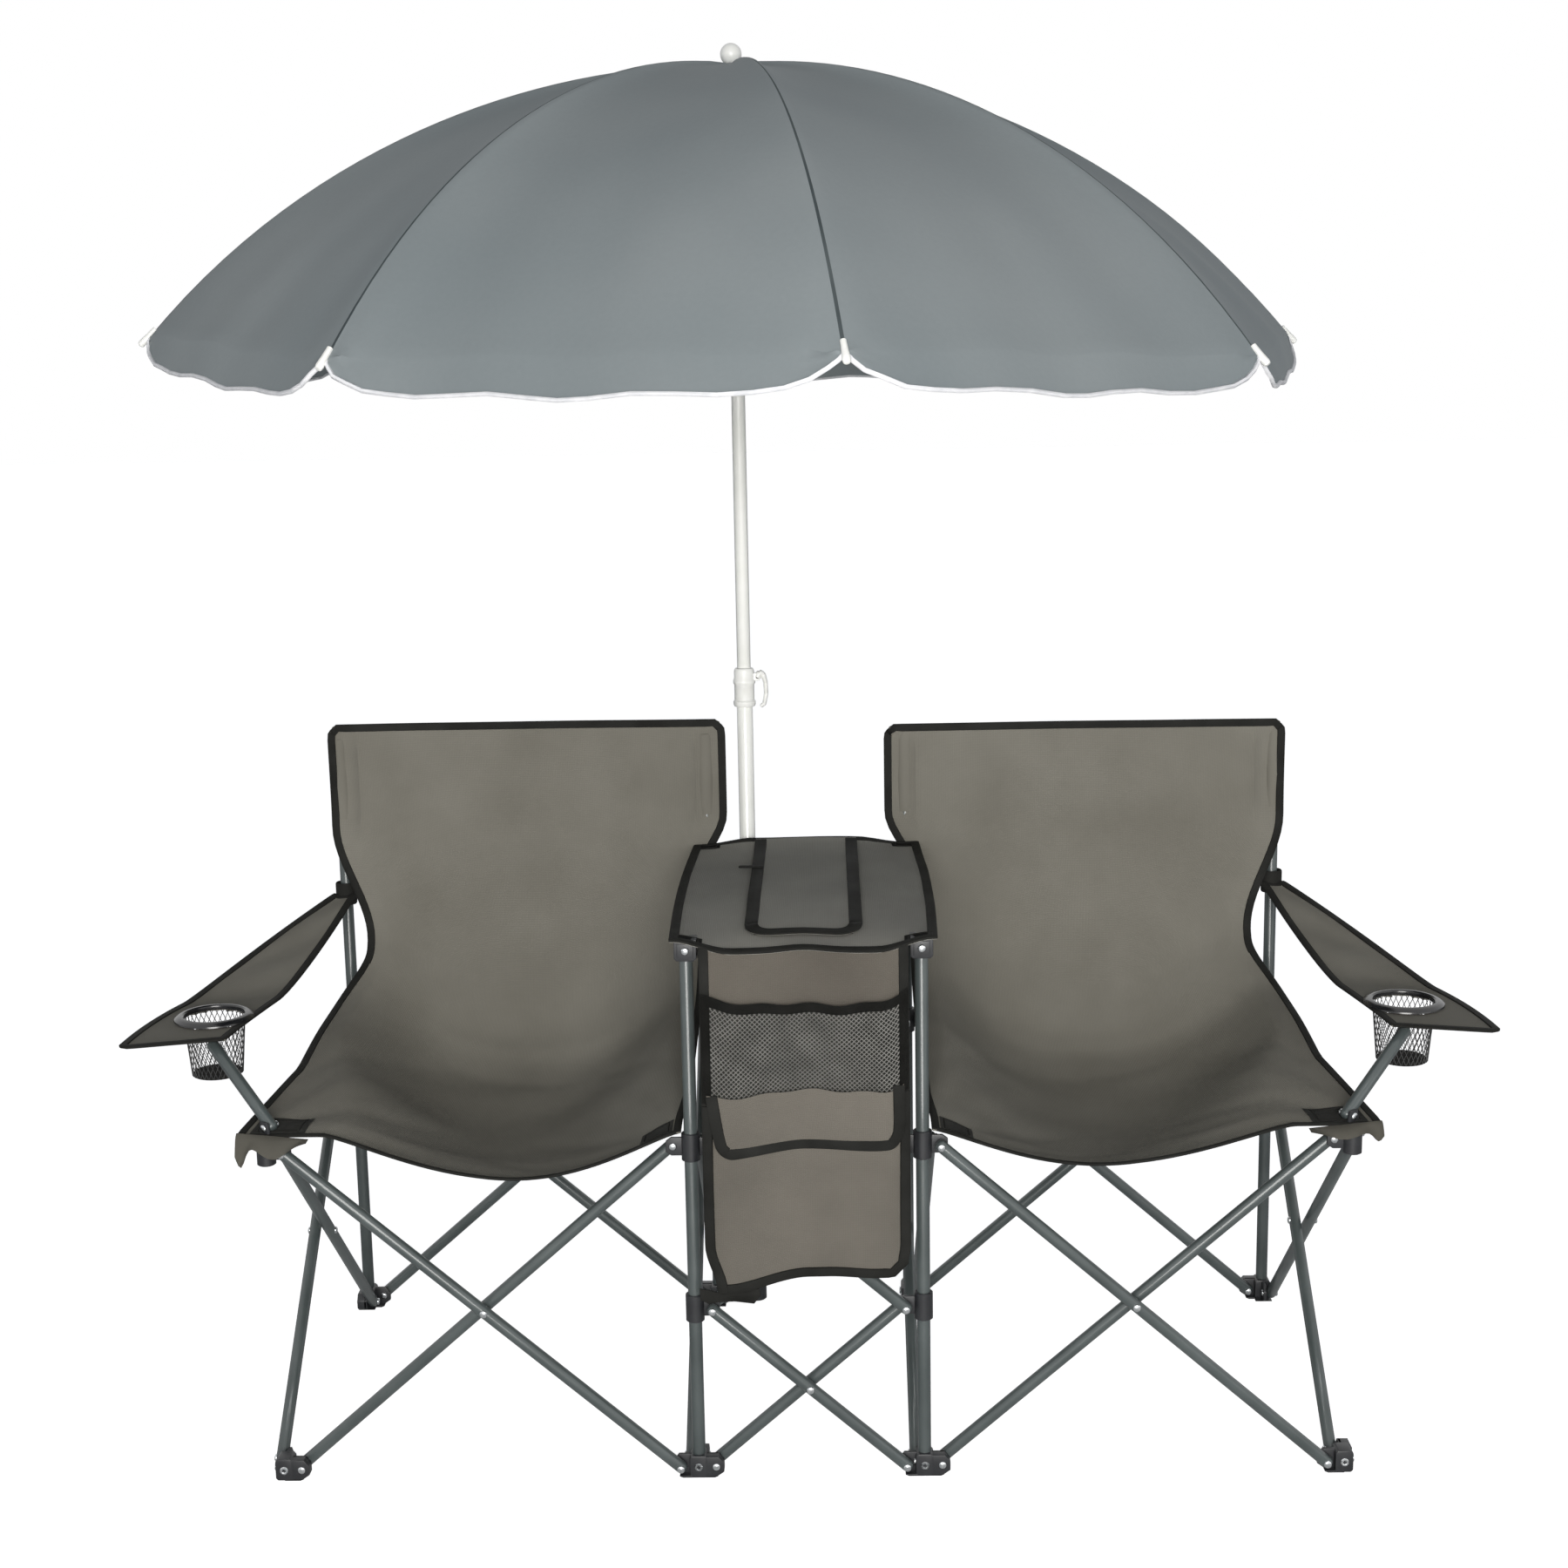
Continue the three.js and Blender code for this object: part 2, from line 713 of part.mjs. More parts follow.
const slingFlatShare = 0.8; // of the half width, past which the cloth keeps the height of its edge
const slingBellyPower = 1.3;

function slingPoint(side, u, v) {
  const edge = edgeProfile.getPoint(v);
  const middle = middleProfile.getPoint(v);
  const reach = u * 2 - 1;
  const belly = Math.max(0, 1 - (reach / slingFlatShare) ** 2) ** slingBellyPower;
  const x = reach < 0 ? reach * innerReach(edge) : reach * outerReach(edge);
  return new THREE.Vector3(
    side * (innerX + chairWidth / 2 + x),
    mix(edge.y, middle.y, belly),
    mix(edge.z, middle.z, belly),
  );
}

const slingColumns = 10;
const slingRows = 19;

for (const chair of chairs) {
  const faceUp = (u, v) => slingPoint(chair.side, chair.side > 0 ? u : 1 - u, v);
  const cloth = solidOf(sheet(faceUp, slingColumns, slingRows, slingThickness));
  const posts = [innerX, outerX].map((x) => x * chair.side);
  const sleeveRadius = postRadius + runningGap + sleeveWall;
  const sleeves = posts.map((x) => upright(sleeveRadius, sleeveBottom, slingTop, x, rearY));
  const tabs = posts.map((x) =>
    block(x - sleeveRadius, x + sleeveRadius, rearY - socketRadius, rearY, sleeveBottom, slingTop),
  );
  const bores = posts.map((x) =>
    upright(postRadius + runningGap, -overrun, rearPostTop + runningGap, x, rearY),
  );
  const armPostWay = armPostTurn(chair.side);
  const lift = THREE.MathUtils.degToRad(armPostLift);
  const pivot = new THREE.Vector3(
    chair.side * (outerX - Math.sin(armPostWay) * tubeOffset),
    chair.side * Math.cos(armPostWay) * tubeOffset,
    hubRivetHeight + armPivotRise,
  );
  const run = new THREE.Vector3(
    Math.cos(armPostWay) * Math.cos(lift),
    Math.sin(armPostWay) * Math.cos(lift),
    Math.sin(lift),
  );
  const slit = barBetween(
    pivot.clone().addScaledVector(run, -earReach),
    pivot.clone().addScaledVector(run, armPostLength),
    socketRadius + sleeveWall,
  );
  const lugSlot = upright(
    socketRadius + sleeveWall,
    hubTop - hubHeight,
    hubTop + armLugTop,
    outerX * chair.side,
  );
  const body = cut(join([cloth, ...sleeves, ...tabs]), [...bores, slit, lugSlot]);
  const largest = body.decompose().sort((a, b) => b.volume() - a.volume())[0];
  addMesh(loveseat, chair.name + "_seat_sling", geometryOf(largest), greyCloth);
}

// The arms: a padded strip from the rear post to a wide front end over the arm post, with a cup holder in it.
const armColumns = 2;
const armRows = 10;
const armLevelShare = 0.4; // of the arm from its front end, which is level
const armOuterPower = 2; // how the arm narrows to the rear, on its outer and inner edge
const armInnerPower = 1.2;
const armRisePower = 1.4;

function armPoint(side, u, v) {
  const y = mix(mix(armFrontY, armTipY, u), rearY - socketRadius, v);
  const outer = mix(armFrontOuterX, outerX + armRearWidth / 2, v ** armOuterPower);
  const inner = mix(armFrontInnerX, outerX - armRearWidth / 2, v ** armInnerPower);
  const climb = Math.max(0, (v - armLevelShare) / (1 - armLevelShare)) ** armRisePower;
  return new THREE.Vector3(side * mix(inner, outer, u), y, mix(armFrontHeight, armRearHeight, climb));
}

const mouthRadius = cupMouthDiameter / 2;

function cupHolder() {
  const rim = armThickness / 2 + runningGap;
  const points = [
    [0, -cupDepth],
    [cupBottomDiameter / 2, -cupDepth],
    [mouthRadius + cupWall, rim],
    [cupRingDiameter / 2, rim],
    [cupRingDiameter / 2 - cupWall, rim + cupRingThickness],
    [mouthRadius, rim + cupRingThickness],
    [mouthRadius, rim],
    [cupBottomDiameter / 2 - cupWall, -cupDepth + cupWall],
    [0, -cupDepth + cupWall],
  ];
  const profile = points.map(([r, z]) => new THREE.Vector2(r, z));
  const geometry = new THREE.LatheGeometry(profile, roundSides);
  geometry.rotateX(Math.PI / 2);
  return geometry;
}

for (const chair of chairs) {
  const faceUp = (u, v) => armPoint(chair.side, chair.side > 0 ? u : 1 - u, v);
  const cloth = solidOf(sheet(faceUp, armColumns, armRows, armThickness));
  const x = outerX * chair.side;
  const sleeveRadius = postRadius + runningGap + sleeveWall;
  const low = armRearHeight - armRearWidth / 2;
  const high = armRearHeight + armRearWidth / 2;
  const loop = upright(sleeveRadius, low, high, x, rearY);
  const tab = block(
    x - sleeveRadius,
    x + sleeveRadius,
    rearY - socketRadius - sleeveWall,
    rearY,
    low,
    high,
  );
  const bore = upright(postRadius + runningGap, low - overrun, high + overrun, x, rearY);
  const cupHole = upright(
    mouthRadius + cupWall + runningGap + runningGap,
    armFrontHeight - cupDepth,
    armFrontHeight + cupDepth,
    cupX * chair.side,
    cupY,
  );
  const body = cut(join([cloth, loop, tab]), [bore, cupHole]);
  addMesh(loveseat, chair.name + "_arm", geometryOf(body), greyCloth);
  const cup = addMesh(loveseat, chair.name + "_cup_holder", cupHolder(), netPlastic);
  cup.position.set(cupX * chair.side, cupY, armFrontHeight);
}

// The cooler table: a top with a lid opening, the cool bag under it, and loops round the rear posts.
const tableSide = innerX + tableSideOverhang;
const tableBack = rearY - socketRadius - 2 * slingThickness - runningGap;
const lidHalf = lidWidth / 2;
const openingHalf = lidHalf - lidLap;
const coolerFront = lidFrontY + lidLap;
const coolerBack = lidRearY - lidLap;
const tableUnderside = tableHeight - tableThickness;
const coolerHalf = coolerWidth / 2;

function table() {
  const top = block(-tableSide, tableSide, -tableFrontOverhang, tableBack, tableUnderside, tableHeight);
  const bag = block(
    -coolerHalf,
    coolerHalf,
    coolerFront - coolerWall,
    coolerBack + coolerWall,
    tableUnderside - coolerDepth,
    tableUnderside,
  );
  const inside = block(
    -coolerHalf + coolerWall,
    coolerHalf - coolerWall,
    coolerFront,
    coolerBack,
    tableUnderside - coolerDepth + coolerWall,
    tableUnderside,
  );
  const opening = block(
    -openingHalf,
    openingHalf,
    coolerFront,
    coolerBack,
    tableUnderside - coolerWall,
    tableHeight + overrun,
  );
  const loopRadius = postRadius + runningGap + sleeveWall;
  const loops = [-innerX, innerX].map((x) =>
    upright(loopRadius, tableUnderside - tableThickness, tableHeight + tableThickness, x, rearY),
  );
  const tabs = [-innerX, innerX].map((x) =>
    block(x - loopRadius, x + loopRadius, tableBack - overrun, rearY, tableUnderside, tableHeight),
  );
  const bores = [-innerX, innerX].map((x) =>
    upright(postRadius + runningGap, tableUnderside - hubHeight, tableHeight + hubHeight, x, rearY),
  );
  return cut(join([top, bag, ...loops, ...tabs]), [inside, opening, ...bores]);
}
addMesh(loveseat, "cooler_table", geometryOf(table()), tableCloth);

const lidSheet = new THREE.BoxGeometry(lidWidth, lidRearY - lidFrontY, tableThickness);
addMesh(loveseat, "cooler_lid", lidSheet, tableCloth).position.set(
  0,
  (lidFrontY + lidRearY) / 2,
  tableHeight + runningGap + tableThickness / 2,
);

// The organiser: a panel that hangs in front of the centre scissors, with a net pocket and a flap pocket.
const organiserHalf = organiserWidth / 2;
const organiserBack = -tubeOffset - tubeRadius - rivetHeadThickness - 2 * runningGap;
const organiserDepth = 2 * organiserSheet + pocketGap;
const organiserFront = organiserBack - organiserDepth;

function organiser() {
  const backSheet = block(
    -organiserHalf,
    organiserHalf,
    organiserBack - organiserSheet,
    organiserBack,
    organiserBottom,
    organiserTop,
  );
  const pouch = (zFrom, zTo) =>
    block(-organiserHalf, organiserHalf, organiserFront, organiserBack, zFrom, zTo);
  const hollow = (zFrom, zTo) =>
    block(
      -organiserHalf + organiserSheet,
      organiserHalf - organiserSheet,
      organiserFront + organiserSheet,
      organiserBack - organiserSheet,
      zFrom + organiserSheet,
      zTo,
    );
  const flap = block(
    -organiserHalf + pocketGap,
    organiserHalf - pocketGap,
    organiserFront - organiserSheet,
    organiserFront,
    pocketFlapBottom,
    pocketFlapTop,
  );
  const body = join([
    backSheet,
    pouch(meshPocketBottom, meshPocketTop),
    pouch(organiserBottom, lowerPocketTop),
    flap,
  ]);
  return cut(body, [
    hollow(meshPocketBottom, meshPocketTop + overrun),
    hollow(organiserBottom, lowerPocketTop + overrun),
  ]);
}
addMesh(loveseat, "organiser", geometryOf(organiser()), panelCloth);

// The parasol: a telescopic pole, its lock collar with a lever, the ribs with their stretchers, and the canopy.
const upperPoleRadius = upperPoleDiameter / 2;
const parasol = new THREE.Group();
parasol.position.set(poleX, poleY, 0);
loveseat.add(parasol);

function lowerPole() {
  const foot = soleThickness + runningGap;
  const bar = upright(lowerPoleRadius, foot, lowerPoleTop);
  const bore = upright(
    lowerPoleRadius - poleWall,
    foot + poleCupHeight,
    lowerPoleTop + overrun,
  );
  return cut(bar, [bore]);
}
addMesh(parasol, "lower_pole", geometryOf(lowerPole()), whiteEnamel);

const leverThickness = 4;
const leverPinHeight = (collarBottom + collarTop) / 2 + collarDiameter / 2;
const leverWidth = 9;
const leverReach = 11.5;
const leverPinReach = collarDiameter / 2 + leverThickness + runningGap;
const leverLength = 40;
const lugWidth = 5;

function collar() {
  const outer = upright(collarDiameter / 2, collarBottom, collarTop);
  const lowerBore = upright(
    lowerPoleRadius + runningGap,
    collarBottom - overrun,
    lowerPoleTop + runningGap,
  );
  const upperBore = upright(upperPoleRadius + poleSlideGap, collarBottom, collarTop + overrun);
  const lug = block(
    0,
    leverPinReach + rivetDiameter / 2,
    -lugWidth / 2,
    lugWidth / 2,
    leverPinHeight - rivetDiameter / 2,
    leverPinHeight + rivetDiameter / 2,
  );
  const pin = crossBar(
    rivetDiameter / 4,
    -leverWidth / 2 - rivetHeadThickness / 2,
    leverWidth / 2 + rivetHeadThickness / 2,
    leverPinReach,
    leverPinHeight,
  );
  return cut(join([outer, lug, pin]), [lowerBore, upperBore]);
}
addMesh(parasol, "pole_collar", geometryOf(collar()), whitePlastic);

// The lever is a D-shaped loop that hangs beside the collar from a pin, and swings up to free the upper pole.
function collarLever() {
  const side = leverLength / 2;
  const outline = new THREE.Shape();
  outline.moveTo(-leverThickness, 0);
  outline.absarc(0, 0, leverThickness, Math.PI, 0, true);
  outline.bezierCurveTo(leverReach, 0, leverReach, -side / 2, leverReach, -side);
  outline.bezierCurveTo(leverReach, -side - side / 2, leverReach / 2, -leverLength, 0, -leverLength);
  outline.lineTo(-leverThickness, -leverLength);
  outline.closePath();
  const gap = new THREE.Path();
  const inset = leverThickness;
  gap.moveTo(0, -inset - leverThickness);
  gap.lineTo(0, -leverLength + inset);
  gap.bezierCurveTo(
    leverReach - inset,
    -leverLength + inset,
    leverReach - inset,
    -side - inset,
    leverReach - inset,
    -side,
  );
  gap.bezierCurveTo(leverReach - inset, -side + inset, inset, -2 * inset, 0, -inset - leverThickness);
  outline.holes.push(gap);
  const plate = new THREE.ExtrudeGeometry(outline, {
    depth: leverWidth,
    bevelEnabled: false,
    curveSegments: 5,
  });
  plate.rotateX(Math.PI / 2);
  plate.translate(0, leverWidth / 2, 0);
  const slotHalf = lugWidth / 2 + runningGap;
  const slot = block(-overrun, overrun, -slotHalf, slotHalf, -2 * inset, inset + overrun);
  const hole = crossBar(rivetDiameter / 4 + runningGap, -leverWidth, leverWidth, 0, 0);
  return cut(solidOf(plate), [slot, hole]);
}
addMesh(parasol, "collar_lever", geometryOf(collarLever()), whitePlastic).position.set(
  leverPinReach,
  0,
  leverPinHeight,
);

// Ribs and canopy follow one arc, from the apex out to the rib tips.
const canopyRise = canopyApex - canopyRimHeight;
const arcRadius = (canopyRimRadius ** 2 + canopyRise ** 2) / (2 * canopyRise);
const arcHeight = (radius) =>
  canopyApex - arcRadius + Math.sqrt(arcRadius ** 2 - radius ** 2);
const panelAngle = (2 * Math.PI) / canopyPanels;
const firstRib = -Math.PI / 2 + THREE.MathUtils.degToRad(canopyTurn);
const ribSides = 5;
const ribDropShare = 0.9; // of a rib's diameter, from the canopy's underside to its middle
const canopyRings = 6;
const canopyHole = upperPoleRadius + runningGap + poleSlideGap;
const ringRadius = (share) => mix(canopyHole, canopyRimRadius, share);

// A point under the canopy's arc, by a drop square to it.
function underArc(radius, drop) {
  const slope = radius / arcRadius;
  return new THREE.Vector3(
    radius - drop * slope,
    0,
    arcHeight(radius) - drop * Math.sqrt(1 - slope * slope),
  );
}

function rib(angle) {
  const drop = canopyThickness / 2 + runningGap + ribDiameter * ribDropShare;
  const points = [];
  for (let i = 0; i <= canopyRings; i += 1) {
    const share = i < canopyRings ? i / canopyRings : ribReachShare;
    points.push(underArc(ringRadius(share), drop));
  }
  const anchor = underArc(ringRadius(stretcherReachShare), drop);
  const runner = new THREE.Vector3(upperPoleRadius, 0, runnerHeight);
  const pieces = [
    rodAlong(points, ribDiameter / 2, ribSides),
    barBetween(runner, anchor, stretcherDiameter / 2, ribSides),
  ];
  return turned(join(pieces), THREE.MathUtils.radToDeg(angle));
}

function parasolFrame() {
  const pole = upright(upperPoleRadius, upperPoleBottom, canopyApex);
  const crownHeight = 2 * ribDiameter;
  const crownTop = canopyApex - canopyThickness - runningGap;
  const crown = upright(upperPoleRadius + ribDiameter, crownTop - crownHeight, crownTop);
  const runner = upright(
    upperPoleRadius + ribDiameter,
    runnerHeight - 4 * ribDiameter,
    runnerHeight + ribDiameter,
  );
  const ball = new THREE.SphereGeometry(finialDiameter / 2, roundSides, roundSides / 2);
  ball.rotateX(Math.PI / 2);
  const base = canopyApex + canopyThickness / 2 + runningGap;
  ball.translate(0, 0, base + finialDiameter / 3);
  const below = block(
    -finialDiameter,
    finialDiameter,
    -finialDiameter,
    finialDiameter,
    base - finialDiameter,
    base,
  );
  const finial = cut(solidOf(ball), [below]);
  const neck = upright(upperPoleRadius, canopyApex - ribDiameter, base + ribDiameter);
  const ribs = [];
  for (let i = 0; i < canopyPanels; i += 1) {
    ribs.push(rib(firstRib + i * panelAngle));
  }
  return join([pole, crown, runner, finial, neck, ...ribs]);
}
addMesh(parasol, "parasol_frame", geometryOf(parasolFrame()), whiteEnamel);

// The canopy: taut between neighbouring ribs, with a hem that hangs lower between the rib tips.
const canopyStepsPerPanel = 5;
const cornerDrop = 5; // of the hem below the rib tips

function canopyPoint(angleShare, ringShare, offset) {
  const inPanel = (angleShare * canopyPanels) % 1;
  const angle = firstRib + angleShare * 2 * Math.PI;
  const radius = ringRadius(Math.min(ringShare, 1));
  const fromSeam = (inPanel - 0.5) * panelAngle;
  const chord = Math.cos(panelAngle / 2) / Math.cos(fromSeam);
  const flatten = mix(1, chord, Math.min(1, radius / (canopyRimRadius / 3)));
  const hang = Math.sqrt(Math.sin(Math.PI * inPanel)) * Math.max(0, ringShare - 1);
  const slope = radius / arcRadius;
  return new THREE.Vector3(
    Math.cos(angle) * (radius * flatten + offset * slope),
    Math.sin(angle) * (radius * flatten + offset * slope),
    arcHeight(radius) + offset * Math.sqrt(1 - slope * slope) - hang * valanceDrop,
  );
}

function canopy() {
  const around = canopyPanels * canopyStepsPerPanel;
  const rings = canopyRings + 1;
  const places = [];
  for (const offset of [canopyThickness / 2, -canopyThickness / 2]) {
    for (let ring = 0; ring <= rings; ring += 1) {
      for (let i = 0; i < around; i += 1) {
        const share = ring < rings ? ring / canopyRings : 2;
        const point = canopyPoint(i / around, share, offset);
        if (ring === rings && i % canopyStepsPerPanel === 0) point.z -= cornerDrop;
        places.push(point);
      }
    }
  }
  const under = around * (rings + 1);
  const faces = [];
  const quad = (a, b, c, d) => faces.push(a, b, c, a, c, d);
  for (let i = 0; i < around; i += 1) {
    const next = (i + 1) % around;
    for (let ring = 0; ring < rings; ring += 1) {
      const near = ring * around;
      const far = near + around;
      quad(near + i, far + i, far + next, near + next);
      quad(under + near + i, under + near + next, under + far + next, under + far + i);
    }
    const rim = rings * around;
    quad(rim + i, under + rim + i, under + rim + next, rim + next);
    quad(i, next, under + next, under + i);
  }
  const geometry = new THREE.BufferGeometry();
  geometry.setAttribute(
    "position",
    new THREE.BufferAttribute(new Float32Array(places.flatMap((p) => [p.x, p.y, p.z])), 3),
  );
  geometry.setIndex(faces);
  geometry.computeVertexNormals();
  return geometry;
}
addMesh(parasol, "canopy", canopy(), canopyCloth);

// The origin goes under the middle of the whole.
const whole = new THREE.Box3().setFromObject(loveseat, true);
loveseat.position.set(
  -(whole.min.x + whole.max.x) / 2,
  -(whole.min.y + whole.max.y) / 2,
  -whole.min.z,
);

export default loveseat;
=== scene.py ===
# %% [markdown]
# # A folding camping loveseat with a parasol
#
# Two quad chairs stand side by side, joined by a cooler table with an organiser in front of it, and a parasol on a
# telescopic pole stands in a cup behind the table. The frame is powder-coated tube with moulded black corners, and
# nearly all of the rest is sewn polyester.
#
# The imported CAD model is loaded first. It fixes where each part is and what moves with what, and every piece that
# is made here rides on one of its bodies.

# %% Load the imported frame
import json
from math import cos, exp, hypot, pi, radians, sin, sqrt

import bmesh
import bpy
from mathutils import Matrix, Vector


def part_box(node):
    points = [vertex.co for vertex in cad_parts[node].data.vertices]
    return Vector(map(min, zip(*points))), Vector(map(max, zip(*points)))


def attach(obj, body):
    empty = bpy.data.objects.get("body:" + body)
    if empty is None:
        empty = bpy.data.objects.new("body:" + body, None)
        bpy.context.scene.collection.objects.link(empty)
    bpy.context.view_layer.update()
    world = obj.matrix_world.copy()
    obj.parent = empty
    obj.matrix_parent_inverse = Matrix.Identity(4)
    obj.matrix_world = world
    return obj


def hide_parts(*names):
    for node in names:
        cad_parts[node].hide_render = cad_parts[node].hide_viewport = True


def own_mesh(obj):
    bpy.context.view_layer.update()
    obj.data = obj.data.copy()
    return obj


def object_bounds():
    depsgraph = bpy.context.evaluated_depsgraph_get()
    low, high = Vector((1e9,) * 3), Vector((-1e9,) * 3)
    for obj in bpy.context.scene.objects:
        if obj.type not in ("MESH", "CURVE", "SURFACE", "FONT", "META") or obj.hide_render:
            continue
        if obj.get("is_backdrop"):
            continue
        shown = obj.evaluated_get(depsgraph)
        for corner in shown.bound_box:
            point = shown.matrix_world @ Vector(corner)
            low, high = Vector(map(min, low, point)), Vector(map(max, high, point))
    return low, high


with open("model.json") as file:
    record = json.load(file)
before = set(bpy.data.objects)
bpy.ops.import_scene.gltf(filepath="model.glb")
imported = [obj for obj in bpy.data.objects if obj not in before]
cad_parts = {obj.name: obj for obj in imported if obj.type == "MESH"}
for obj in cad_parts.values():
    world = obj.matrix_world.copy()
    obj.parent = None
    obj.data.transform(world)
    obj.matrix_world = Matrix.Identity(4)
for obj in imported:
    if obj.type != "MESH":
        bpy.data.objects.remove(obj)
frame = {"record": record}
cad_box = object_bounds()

# %% [markdown]
# ## Places
#
# The sizes below are in millimetres, measured as the chairs were drawn: X is 0 midway between them, Y is 0 at the
# front corners and 474 at the rear posts, and Z is 0 on the floor. One shift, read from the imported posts, takes
# them to the model's own frame, so that a piece lands where the CAD says without any fitting.

# %% From the chairs' own measures to the model's frame
INNER_X, OUTER_X, REAR_Y = 128.5, 602.5, 474.0


def middle_of(node):
    low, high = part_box(node)
    return (low + high) / 2


post_pair = [middle_of(side + "_outer_rear_post") for side in ("left", "right")]
SHIFT = Vector(((post_pair[0].x + post_pair[1].x) / 2, post_pair[0].y - REAR_Y / 1000, 0))
INTO_FRAME = Matrix.Translation(SHIFT) @ Matrix.Scale(0.001, 4)


def place(x, y, z):
    return INTO_FRAME @ Vector((x, y, z))


body_with = {
    node: body
    for body, nodes in frame["record"]["behaviour"]["bodies"].items()
    for node in nodes
}
print("shift in mm:", [round(n * 1000, 2) for n in SHIFT])

# %% [markdown]
# ## Camera
#
# The photograph was taken from just above seat height, a little over two metres in front. The camera's place and
# lens come from fitting it to the feet, hubs and rivets, whose true places are known from the frame's own sizes.

# %% The camera
YAW, PITCH, ROLL = -0.0204, 0.1869, -0.0181
FOCAL_PIXELS, PHOTO_PIXELS, SENSOR = 2539.8, 1800, 36.0
CAMERA_SPOT = (29.85, -2336.4, 1242.3)

ahead = Vector((sin(YAW) * cos(PITCH), cos(YAW) * cos(PITCH), -sin(PITCH)))
level = Vector((cos(YAW), -sin(YAW), 0))
above = level.cross(ahead)
right = cos(ROLL) * level + sin(ROLL) * above
up = -sin(ROLL) * level + cos(ROLL) * above

camera = bpy.data.objects.new("camera", bpy.data.cameras.new("camera"))
bpy.context.scene.collection.objects.link(camera)
turned = Matrix((right, up, -ahead)).transposed().to_4x4()
camera.matrix_world = Matrix.Translation(place(*CAMERA_SPOT)) @ turned
camera.data.sensor_width = SENSOR
camera.data.lens = FOCAL_PIXELS / PHOTO_PIXELS * SENSOR
bpy.context.scene.camera = camera
bpy.context.scene.view_settings.view_transform = "Standard"
print("lens in mm:", round(camera.data.lens, 2))

# %% [markdown]
# ## Colour and nodes
#
# Colours are written as sRGB hex, as a paint chart gives them, and one function turns them to the linear values
# that shaders work in. One small function adds a node, sets it and links it.

# %% Helpers for the materials


def colour(code):
    channels = [int(code[i : i + 2], 16) / 255 for i in (1, 3, 5)]
    return (*[c / 12.92 if c <= 0.04045 else ((c + 0.055) / 1.055) ** 2.4 for c in channels], 1)


def add_node(tree, kind, sockets=None, **settings):
    node = tree.nodes.new("ShaderNode" + kind)
    for name, value in settings.items():
        setattr(node, name, value)
    for socket, value in (sockets or {}).items():
        if isinstance(value, bpy.types.NodeSocket):
            tree.links.new(value, node.inputs[socket])
        else:
            node.inputs[socket].default_value = value
    return node


def new_finish(name, sockets):
    material = bpy.data.materials.new(name)
    material.use_nodes = True
    material.node_tree.nodes.clear()
    shader = add_node(material.node_tree, "BsdfPrincipled", sockets)
    add_node(material.node_tree, "OutputMaterial", {"Surface": shader.outputs[0]})
    return material, material.node_tree, shader


def mottle(tree, vector, low, high, size_mm, detail=2.0):
    """A soft drift between two colours, over patches of about that size."""
    noise = add_node(tree, "TexNoise", {"Vector": vector, "Scale": 1000 / size_mm, "Detail": detail})
    ramp = add_node(tree, "ValToRGB", {"Fac": noise.outputs["Fac"]})
    for stop, position, code in zip(ramp.color_ramp.elements, (0.3, 0.7), (low, high)):
        stop.position, stop.color = position, colour(code)
    return ramp.outputs["Color"]


def raise_surface(tree, shader, height, distance_mm):
    bump = add_node(tree, "Bump", {"Height": height, "Distance": distance_mm / 1000, "Strength": 1.0})
    tree.links.new(bump.outputs[0], shader.inputs["Normal"])


def shade_by(tree, shader, base, pattern, darkest, lightest):
    """Gives the shader its base colour times a pattern."""
    shade = add_node(tree, "MapRange", {"Value": pattern, "To Min": darkest, "To Max": lightest})
    colours = {"Factor": 1.0, "A": base, "B": shade.outputs[0]}
    tinted = add_node(tree, "Mix", colours, data_type="RGBA", blend_type="MULTIPLY")
    tree.links.new(tinted.outputs["Result"], shader.inputs["Base Color"])


def mottled_finish(name, sockets, low, high, patch_mm, grain=None):
    """A finish that drifts between two colours. Its grain, if any, is a size and a height in mm, and a detail."""
    material, tree, shader = new_finish(name, sockets)
    spot = add_node(tree, "TexCoord").outputs["Object"]
    tree.links.new(mottle(tree, spot, low, high, patch_mm), shader.inputs["Base Color"])
    if grain:
        size_mm, height_mm, detail = grain
        noise = add_node(tree, "TexNoise", {"Vector": spot, "Scale": 1000 / size_mm, "Detail": detail})
        raise_surface(tree, shader, noise.outputs["Fac"], height_mm)
    return material


# %% [markdown]
# ## Powder-coated steel
#
# The tubes are steel, sprayed with a grey-green powder and baked. The coat is smooth and semi-gloss, so each tube
# shows a narrow bright line along its length, and the baked powder leaves a faint orange peel a few millimetres
# across. The steel itself never shows, so this is a paint: no metallic value, and a clear sharp layer over a softer
# one.

# %% The frame's paint
powder_coat = mottled_finish(
    "powder_coated_steel",
    {"Roughness": 0.4, "Specular IOR Level": 0.35, "Coat Weight": 0.5, "Coat Roughness": 0.09, "IOR": 1.5},
    "#414848", "#505757", 60, grain=(4, 0.03, 1.0),
)

# %% [markdown]
# ## Moulded nylon
#
# The feet, hubs and sleeves are injection-moulded nylon, nearly black. A spark-eroded mould leaves a fine grain,
# which takes the shine down to a satin and makes the edges stand out a little lighter.

# %% The corners' plastic
nylon = mottled_finish(
    "moulded_nylon", {"Roughness": 0.42, "IOR": 1.53, "Specular IOR Level": 0.5},
    "#1e1f22", "#2a2b2e", 25, grain=(1.5, 0.05, 3.0),
)

# %% [markdown]
# ## Zinc-plated rivets
#
# The rivets are steel with bright zinc plating. They are small, so what the eye gets is one hard glint and a little
# dulling where the setting tool pressed them.

